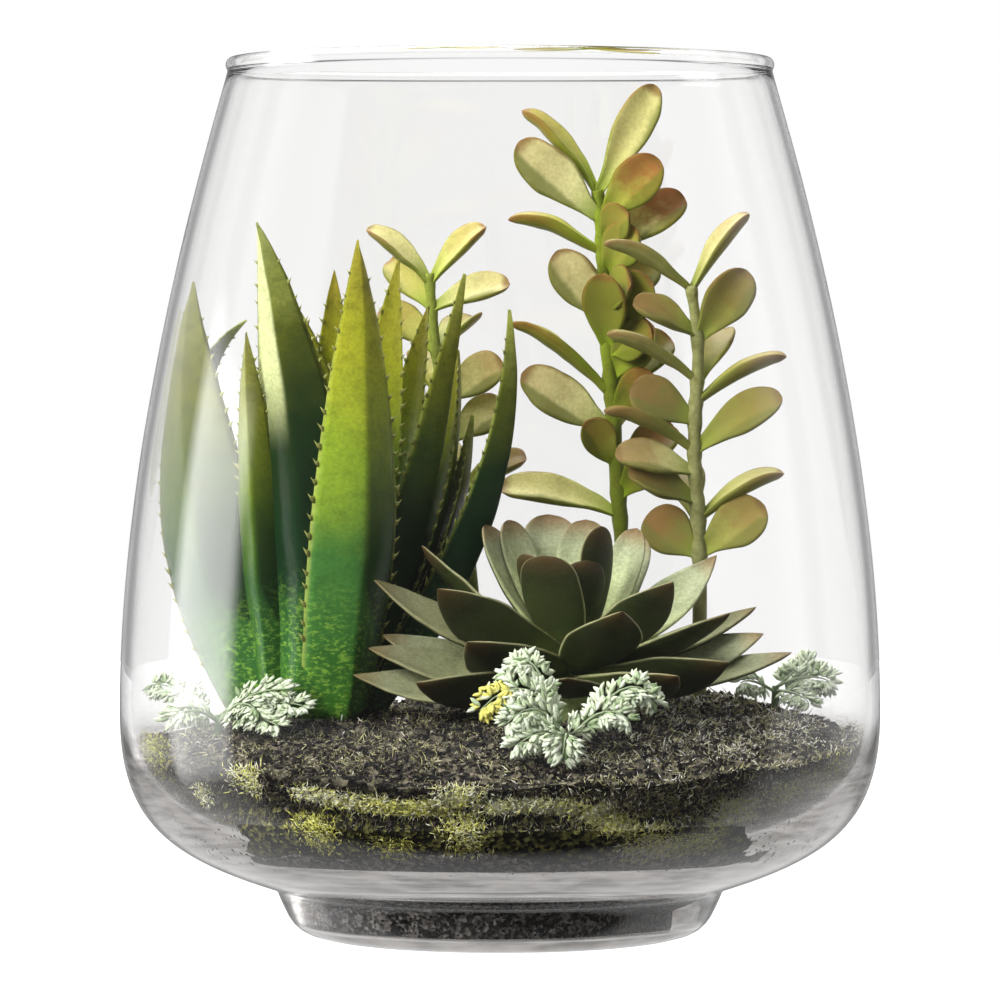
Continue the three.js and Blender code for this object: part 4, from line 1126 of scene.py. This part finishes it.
BACK_LEAVES = [
    (178, (-18, -1, 15), 9, 22, 0.9, 0.1), (178, (16, 0, 16), 9, 20, 0.6, 0.4),
    (171, (22, -2, 7), 10, 45, 0.9, 0.2), (171, (-12, 12, 14), 11, 50, 0.5, 0.3),
    (159, (11, 15, 10), 11, -30, 0.5, 0.4), (159, (-16, 6, 12), 11, 50, 0.5, 0.4),
    (145, (17, -3, 11), 12, 55, 0.8, 0.5), (145, (-8, 14, 14), 11, -30, 0.5, 0.4),
    (134, (16, 0, 10), 12, 50, 0.9, 0.2), (134, (-17, 3, 12), 11, 50, 0.5, 0.4),
    (119, (19, -3, 10), 11, 30, 0.3, 0.6), (119, (-6, 14, 14), 11, -30, 0.5, 0.4),
]
# Each stem from its upright foot: name, knots, leaves, radius, and how worn
JADE_STEMS = [
    ("tall_jade", TALL_STEM, TALL_LEAVES, 2.3, 0.0),
    ("right_jade", RIGHT_STEM, RIGHT_LEAVES, 2.3, 0.75),
    ("back_jade", BACK_STEM, BACK_LEAVES, 2.1, 0.2),
]
JADE_THICK = 4.0
JADE_CUP = 1.7
JADE_ARCH = 0.14
JADE_LEAN = 0.35


def jade_width(share):
    """Narrow at the stalk, widest past the middle, and round at the tip."""
    swell = 0.27 + 0.73 * smoothstep(0.0, 0.62, share)
    late = np.clip((share - 0.6) / 0.4, 0, 1)
    return swell * np.sqrt(1 - late ** 2.6)


def jade_depth(share):
    """Fullest in the middle, 0.45 of it at the stalk, and rounded off over the last 8%."""
    return (0.45 + 0.55 * np.sin(np.pi * share)) * np.sqrt(np.clip((1 - share) / 0.08, 0, 1))


def stem_line(knots, steps):
    """A smooth line through given points: a cubic between each pair, with the neighbours' slopes."""
    knots = np.array(knots, float)
    padded = np.concatenate([2 * knots[:1] - knots[1:2], knots, 2 * knots[-1:] - knots[-2:-1]])
    share = np.linspace(0, 1, steps, endpoint=False)[None, :, None]
    before, start, end, after = (padded[i:i + len(knots) - 1, None] for i in range(4))
    bend = (2 * before - 5 * start + 4 * end - after) * share ** 2
    twist = (-before + 3 * start - 3 * end + after) * share ** 3
    line = 0.5 * (2 * start + (end - before) * share + bend + twist)
    return np.concatenate([line.reshape(-1, 3), knots[-1:]])


def stem_skin(line, radius, joints, grey):
    """A round stem whose radius tapers to 60% and swells at each pair of leaves."""
    share = np.linspace(0, 1, len(line))
    swell = np.sum(np.exp(-((line[:, 2, None] - joints[None]) / 1.8) ** 2), axis=1)
    size = radius * (1 - 0.4 * share) * (1 + 0.3 * np.minimum(swell, 1))
    along = unit(np.gradient(line, axis=0))
    side = unit(np.cross(along, np.array([0.0, 1.0, 0.0])))
    grid = line[:, None] + rings(side, np.cross(side, along), 16) * size[:, None, None]
    return skins(grid[None], line[:1], line[-1:], along=share[:, None], tone=grey)


def jade(name, knots, rows, radius, grey):
    """A stem and its fleshy leaves; a leaf seen edge on arches, and one seen full face is nearly straight."""
    line = stem_line([(*knots[0][:2], PEG_FOOT), *knots], 14)
    leaves = table(rows, "rise", "reach", "wide", "turn", "tone", "blush")
    rise, reach, turn = leaves["rise"], leaves["reach"], np.radians(leaves["turn"])
    root = points_at(*(np.interp(rise, line[:, 2], line[:, axis]) for axis in (0, 1)), rise)
    arch = JADE_ARCH * (np.abs(np.cos(turn)) - 0.3) * np.linalg.norm(reach, axis=-1)
    leaves["root"] = root
    leaves["tip"] = root + reach
    leaves["belly"] = 0.5 * (root + leaves["tip"]) + arch[:, None] * UP
    leaves["face"] = points_at(JADE_LEAN * np.sign(reach[:, 0]), -np.sin(turn), np.cos(turn))
    shares = 1 - (1 - np.linspace(0.02, 0.99, 26)) ** 1.35
    section = fleshy_section(20, 0.55)
    grids = blades(leaves, shares, jade_width, jade_depth, section, JADE_THICK, JADE_CUP, (0.3, 7.0, 90))
    drop = (grids.mean(axis=2, keepdims=True) - grids)[..., 2] / (0.5 * leaves["wide"])[:, None, None]
    flesh = leaf_skins(grids, leaves, shares, section, ("tone", "blush"),
                       under=(section[:, 1] < 0) * 1.0, drop=drop, worn=grey)
    piece(f"{name}_leaves", flesh, JADE_SKIN, f"{name}_stem")
    piece(f"{name}_stalk", stem_skin(line, radius, np.unique(rise), grey), JADE_STALK)


# Rosette leaves: bearing and lift in degrees, length, breadth, height where it grows, lean back, and tone
ROSETTE_LEAVES = [
    (172, 38, 49, 15, 77, 0.3, 0.7), (184, 25, 56, 16, 75, -0.5, 0.9), (178, 13, 50, 15, 72, -0.8, 0.6),
    (186, 8, 53, 16, 73, -0.55, 0.8), (188, 2, 57, 16, 71, -0.6, 0.7), (212, 28, 45, 20, 76, 1.0, 0.6),
    (215, 3, 48, 20, 70, 0.8, 0.7), (232, 14, 44, 20, 73, 0.9, 0.7), (165, 58, 41, 14, 78, -0.3, 0.1),
    (140, 60, 40, 14, 79, 0.0, 0.1), (103, 57, 44, 18, 78, 0.0, 0.0), (78, 60, 40, 15, 79, 0.0, 0.1),
    (244, 62, 31, 18, 78, 0.0, 0.6), (320, 76, 36, 14, 78, 0.0, 0.9), (20, 63, 38, 12, 78, -0.8, 0.1),
    (48, 50, 41, 14, 78, -0.6, 0.15), (8, 36, 47, 15, 77, -1.0, 0.2), (330, 36, 36, 17, 77, 1.0, 0.7),
    (5, 18, 51, 15, 75, -0.3, 0.8), (0, 12, 51, 15, 73, -0.9, 0.3), (352, 8, 58, 16, 71, -0.4, 0.6),
    (335, 20, 47, 17, 74, 0.2, 0.6), (328, 8, 47, 19, 71, 0.9, 0.7), (290, 26, 40, 21, 74, 0.4, 0.7),
    (268, 6, 44, 21, 70, 0.2, 0.7), (305, 6, 46, 19, 70, 0.8, 0.7), (55, 20, 37, 15, 73, 0, 0.4),
    (92, 22, 36, 15, 73, 0, 0.4), (125, 18, 40, 15, 73, 0, 0.4), (150, 10, 42, 15, 72, 0, 0.4),
    (290, 66, 24, 13, 82, 0, 0.5), (200, 64, 26, 13, 82, 0.4, 0.4),
]
ROSETTE_TOP = 84.0
ROSETTE_CROWN = 2.0
ROSETTE_THICK = 3.4
ROSETTE_CUP = 1.6
ROSETTE_SAG = 0.07


def rosette_depth(share):
    """Full at the foot, falling by 0.6 s^2, and rounded off over the last 5%."""
    return (1 - 0.6 * share ** 2) * np.sqrt(np.clip((1 - share) / 0.05, 0, 1))


def rosette():
    """Leaves by bearing and lift round one crown, each sagging a little at its middle."""
    leaves = table(ROSETTE_LEAVES, "turn", "lift", "length", "wide", "rise", "lean", "tone")
    outward = round_axis(np.radians(leaves["turn"]))
    climb = np.radians(leaves["lift"])[:, None]
    above = -outward * np.sin(climb) + UP * np.cos(climb)
    reach = leaves["length"][:, None] * (outward * np.cos(climb) + UP * np.sin(climb))
    leaves["root"] = points_at(*AXIL["rosette"], leaves["rise"]) + ROSETTE_CROWN * outward
    leaves["tip"] = leaves["root"] + reach
    leaves["belly"] = leaves["root"] + 0.5 * reach - ROSETTE_SAG * leaves["length"][:, None] * above
    leaves["face"] = above + leaves["lean"][:, None] * np.array([0.0, 1.0, 0.0])
    blunt = smoothstep(36, 52, leaves["lift"])[:, None]

    def width(share):
        """The leaf's breadth, blunter at the tip in the steep inner leaves."""
        swell = 0.42 + 0.58 * np.sin(np.pi / 2 * np.minimum(1, share / 0.6))
        late = np.clip((share - 0.6) / 0.4, 0, 1)
        return swell * (1 - late ** (1.7 + 2.1 * blunt)) ** (0.95 - 0.43 * blunt)

    shares = 1 - (1 - np.linspace(0.02, 0.995, 30)) ** 1.3
    section = fleshy_section(20, 0.5)
    wave = (0.25, 9.0, 130)
    grids = blades(leaves, shares, width, rosette_depth, section, ROSETTE_THICK, ROSETTE_CUP, wave)
    flesh = leaf_skins(grids, leaves, shares, section, ("tone",), under=(section[:, 1] < 0) * 1.0)
    core = column(AXIL["rosette"], PEG_FOOT, ROSETTE_TOP, 5.5)
    piece("rosette_leaves", joined(flesh, core), rosette_finish(), "rosette")


# Fronds of each spray: tip, belly, breadth, and the turn of its face from the sky to the front in degrees
SPRAYS = {
    "front": [
        ((-5, -78, 67), (7, -76, 72), 8, 55), ((2, -82, 64), (10, -79, 67), 7, 60),
        ((4, -85, 58), (11, -81, 61), 7, 65), ((16, -87, 55), (17, -84, 61), 8, 70),
        ((40, -76, 69), (31, -77, 72), 7, 50), ((33, -82, 65), (25, -80, 66), 6, 60),
        ((1, -72, 75), (9, -72, 78), 4, 40),
    ],
    "left": [
        ((-58, -30, 69), (-67, -25, 67), 8, 45), ((-53, -34, 65), (-64, -28, 65), 8, 40),
        ((-59, -41, 60), (-67, -32, 62), 7, 50), ((-94, -10, 69), (-86, -15, 67), 8, 50),
        ((-88, -30, 61), (-82, -26, 63), 7, 50), ((-64, -37, 63), (-70, -29, 65), 6, 45),
    ],
    "right": [
        ((91, 3, 69), (84, 4, 70), 8, 50), ((86, 8, 74), (81, 7, 71), 7, 45),
        ((84, -11, 64), (81, -4, 66), 6, 50), ((66, -3, 69), (70, 0, 69), 7, 50),
    ],
}
SPRAY_STALK = 6.0
SPRAY_PEG = 1.4
FROND_STEP = 0.45
PINNAE = 9
LEAFLETS = 3
YELLOW_FROM = 0.62
NOT_YELLOW = 2.0


def lens_leaves(roots, aims, out, sizes, tones):
    """Small flat leaflets: four-sided rings at three stations, widest before the middle and pointed."""
    shares = np.array([0.08, 0.42, 0.75])
    girth = np.array([0.5, 1.0, 0.62])
    side = unit(np.cross(aims, out))
    spread = rings(side * 0.21 * sizes[:, None], 0.25 * np.cross(side, aims), 4)
    reach = aims * sizes[:, None]
    middle = roots[:, None] + reach[:, None] * shares[:, None]
    grids = middle[:, :, None] + spread[:, None] * girth[:, None, None]
    return skins(grids, roots, roots + reach, tone=tones[:, None, None], along=shares[None, :, None])


def lace_frond(leaf, wide, yellow):
    """One frond cut twice: pinnae along a bent rib, and pointed leaflets along each pinna.

    Leaflets past the share called yellow, measured along the rib, take the yellow tone.
    """
    share = np.linspace(0.18, 0.97, PINNAE)
    centre, along, side, out = (value[0] for value in blade_frames(leaf, share[None]))
    reach = 0.58 * wide * np.sin(np.pi * (0.2 + 0.7 * share)) ** 0.8
    step = np.linspace(0.25, 1.0, LEAFLETS)
    outs = np.repeat(out, LEAFLETS, axis=0)
    parts = []
    for edge in (-1.0, 1.0):
        heading = unit(edge * side + 0.9 * along - 0.2 * out + 0.12 * chance.normal(size=side.shape))
        place = centre[:, None] + heading[:, None] * (reach[:, None] * step)[..., None]
        place = place + 0.25 * chance.normal(size=place.shape)
        for lean in (-0.75, 0.0, 0.75):
            aim = unit(heading[:, None] + lean * along[:, None] + 0.12 * chance.normal(size=place.shape))
            size = (2.6 + 1.3 * chance.random((PINNAE, LEAFLETS))) * (1.2 - 0.4 * step)
            tone = np.clip(0.5 + 0.3 * step + 0.22 * chance.normal(size=(PINNAE, LEAFLETS)), 0, 0.9)
            turning = (share[:, None] > yellow) & (chance.random(tone.shape) < 0.8)
            tone = np.where(turning, 1.0, tone)
            places, aims = place.reshape(-1, 3), aim.reshape(-1, 3)
            parts.append(lens_leaves(places, aims, outs, size.ravel(), tone.ravel()))
    rib = np.linspace(0.0, 1.0, 9)
    centre, along, side, out = (value[0] for value in blade_frames(leaf, rib[None]))
    grid = centre[:, None] + rings(side, out, 6) * (0.5 - 0.35 * rib)[:, None, None]
    parts.append(skins(grid[None], leaf["root"], centre[-1:] + along[-1:] * 0.4, tone=0.45))
    return joined(*parts)


def lace_sprays():
    """Each spray is a peg with fronds that grow from it one below the other."""
    finish = lace_finish()
    for name, rows in SPRAYS.items():
        x, y = SPRAY_FOOT[name]
        top = soil_top(x, y) + SPRAY_STALK
        parts = [column((x, y), PEG_FOOT, top, SPRAY_PEG)]
        for i, (tip, belly, wide, turn) in enumerate(rows):
            angle = math.radians(turn)
            root = (x, y, top - FROND_STEP * (i + 1))
            face = (0.0, -math.sin(angle), math.cos(angle))
            leaf = table([(root, belly, tip, face)], "root", "belly", "tip", "face")
            yellow = YELLOW_FROM if name == "front" and i == 0 else NOT_YELLOW
            parts.append(lace_frond(leaf, wide, yellow))
        piece(f"{name}_lace", joined(*parts), finish, f"lace_spray_{name}")


# Camera: the photograph's distance, height and tilt, and a lens of about 200 mm
CAMERA_BACK = 1520.0
CAMERA_HEIGHT = 171.0
CAMERA_TILT = 1.96
CAMERA_LENS = 199.7
FILM_WIDTH = 36.0

# Softboxes: name, place, what it faces, breadth and height in millimetres, radiance, and whether mirrored
SOFTBOXES = [
    ("key_softbox", (-660, -540, 600), (0, 0, 110), 620, 520, 20.5, False),
    ("top_softbox", (-200, 350, 900), (0, 0, 80), 700, 700, 9.5, True),
    ("back_softbox", (-300, 1100, 300), (0, 0, 100), 900, 600, 6.0, False),
]

# What the glass alone shows: a panel at the left, dark flags in the white, and how much a mirror keeps
PANEL_BEARING = math.radians(77.0)
PANEL_LEVEL = 4.2
ROOM_LEVEL = 0.07
FLAGS = 8.0
MIRRORED_WHITE = 0.35

FLOOR_DROP = 0.05
FLOOR_THICK = 20.0


def photo_camera():
    """The camera in front of the jar, level from side to side and tilted down."""
    lens = bpy.data.cameras.new("photo_camera")
    lens.lens = CAMERA_LENS
    lens.sensor_width = FILM_WIDTH
    lens.clip_end = 100.0
    camera = linked("photo_camera", lens)
    camera.location = (0.0, -CAMERA_BACK * MM, CAMERA_HEIGHT * MM)
    camera.rotation_euler = (math.radians(90.0 - CAMERA_TILT), 0.0, 0.0)
    bpy.context.scene.camera = camera


def softbox(name, place, aim, wide, high, radiance, mirrored):
    """A rectangular area light, in millimetres, turned to face the aim."""
    light = bpy.data.lights.new(name, "AREA")
    light.shape = "RECTANGLE"
    light.size = wide * MM
    light.size_y = high * MM
    light.energy = radiance * math.pi * wide * high * MM * MM
    lamp = linked(name, light)
    lamp.location = [value * MM for value in place]
    away = np.array(aim, float) - np.array(place, float)
    level = math.hypot(away[0], away[1])
    lamp.rotation_euler = (math.atan2(level, -away[2]), 0.0, math.atan2(-away[0], away[1]))
    lamp.visible_camera = False
    lamp.visible_transmission = False
    lamp.visible_glossy = mirrored


def studio():
    """White behind and dim in front; the glass alone shows dark flags, a dark ceiling and a soft panel.

    Light that glass lets through meets the white, with dark flags in it and dark above. Light that the
    glass mirrors, and light that leaves it to the front, meets a dim room and, at the left, the panel.
    """
    world = bpy.data.worlds.new("studio")
    world.use_nodes = True
    bpy.context.scene.world = world
    world.node_tree.nodes.clear()
    nodes = Nodes(world.node_tree)
    heading = nodes.add("SeparateXYZ", {0: nodes.add("TexCoord").outputs["Generated"]}).outputs
    right, back, up = heading["X"], heading["Y"], heading["Z"]
    path = nodes.add("LightPath").outputs
    light = nodes.plus(nodes.span(back, -0.2, 0.9, 0.11, 1.0), nodes.span(up, 0.2, 1.0, 0.0, 0.5))
    bearing = nodes.maths("ARCTAN2", right, back)
    wave = nodes.maths("COSINE", nodes.times(bearing, FLAGS))
    flags = nodes.span(wave, -0.95, -0.55, 0.55, 1.03)
    ceiling = nodes.span(up, 0.35, 0.6, 1.0, 0.15)
    white = nodes.times(flags, ceiling, nodes.span(back, -0.1, 0.3))
    leftward = nodes.maths("COSINE", nodes.plus(bearing, PANEL_BEARING))
    height = nodes.times(nodes.span(up, 0.25, 0.16), nodes.span(up, -0.38, -0.22))
    panel = nodes.times(nodes.span(leftward, 0.955, 0.985), height, PANEL_LEVEL)
    room = nodes.plus(ROOM_LEVEL, panel)
    first = nodes.maths("LESS_THAN", path["Diffuse Depth"], 0.5)
    through = nodes.times(first, path["Is Transmission Ray"])
    mirrored = nodes.times(first, path["Is Reflection Ray"])
    seen = nodes.times(nodes.most(white, room), through)
    below = nodes.times(nodes.span(up, -0.15, -0.35), nodes.span(back, -0.2, 0.1))
    grazing = nodes.most(below, nodes.times(white, MIRRORED_WHITE))
    reflected = nodes.times(nodes.most(room, grazing), mirrored)
    lit = nodes.times(light, nodes.maths("SUBTRACT", 1.0, nodes.most(through, mirrored)))
    total = nodes.plus(nodes.plus(seen, reflected), lit)
    backdrop = nodes.most(total, path["Is Camera Ray"])
    sky = nodes.add("Background", {"Color": (1, 1, 1, 1), "Strength": backdrop})
    nodes.add("OutputWorld", {"Surface": sky.outputs[0]})
    for row in SOFTBOXES:
        softbox(*row)


def floor():
    """A wide lit table top that shows no shadow, dim in front of the jar and to light that has bounced."""
    top = round_axis(circle(96), np.array([[120.0], [400.0], [1200.0]]), -FLOOR_DROP)
    under = top[::-1] - FLOOR_THICK * UP
    middle = points_at(0.0, 0.0, -FLOOR_DROP)[None]
    part = skins(np.concatenate([top, under])[None], middle, middle - FLOOR_THICK * UP)
    nodes = new_finish("floor_white")
    fine = nodes.noise(3.0, 3.0)
    tint = nodes.mix(fine, (0.1, 0.1, 0.1, 1), (0.08, 0.08, 0.08, 1))
    where = nodes.places()
    front = nodes.span(nodes.add("SeparateXYZ", {0: where}).outputs["Y"], -60.0, -90.0)
    away = nodes.add("VectorMath", {0: where}, operation="LENGTH").outputs["Value"]
    dim = nodes.times(front, nodes.span(away, 92.0, 104.0, 0.0, 0.9))
    seen = nodes.maths("SUBTRACT", 1.03, dim)
    path = nodes.add("LightPath").outputs
    bounced = nodes.maths("GREATER_THAN", path["Diffuse Depth"], 0.5)
    glow = nodes.add("Mix", {0: bounced, 2: seen, 3: 0.35}).outputs[0]
    shown = nodes.add("Mix", {0: path["Is Camera Ray"], 2: glow, 3: 1.1}).outputs[0]
    skin = nodes.skin(tint, 0.6, 0.1, nodes.bump(fine, 0.05, 0.1),
                      {"Emission Color": (1, 1, 1, 1), "Emission Strength": shown})
    ground = solid("floor", part, nodes.finished(skin), smooth=False)
    ground.visible_glossy = False


bpy.context.scene.view_settings.view_transform = "Standard"
photo_camera()
studio()
floor()
JADE_SKIN = jade_finish()
JADE_STALK = stem_finish()
glass_jar()
bed()
soil_crumbs()
moss()
golden_fibres()
aloe()
for stem in JADE_STEMS:
    jade(*stem)
rosette()
lace_sprays()
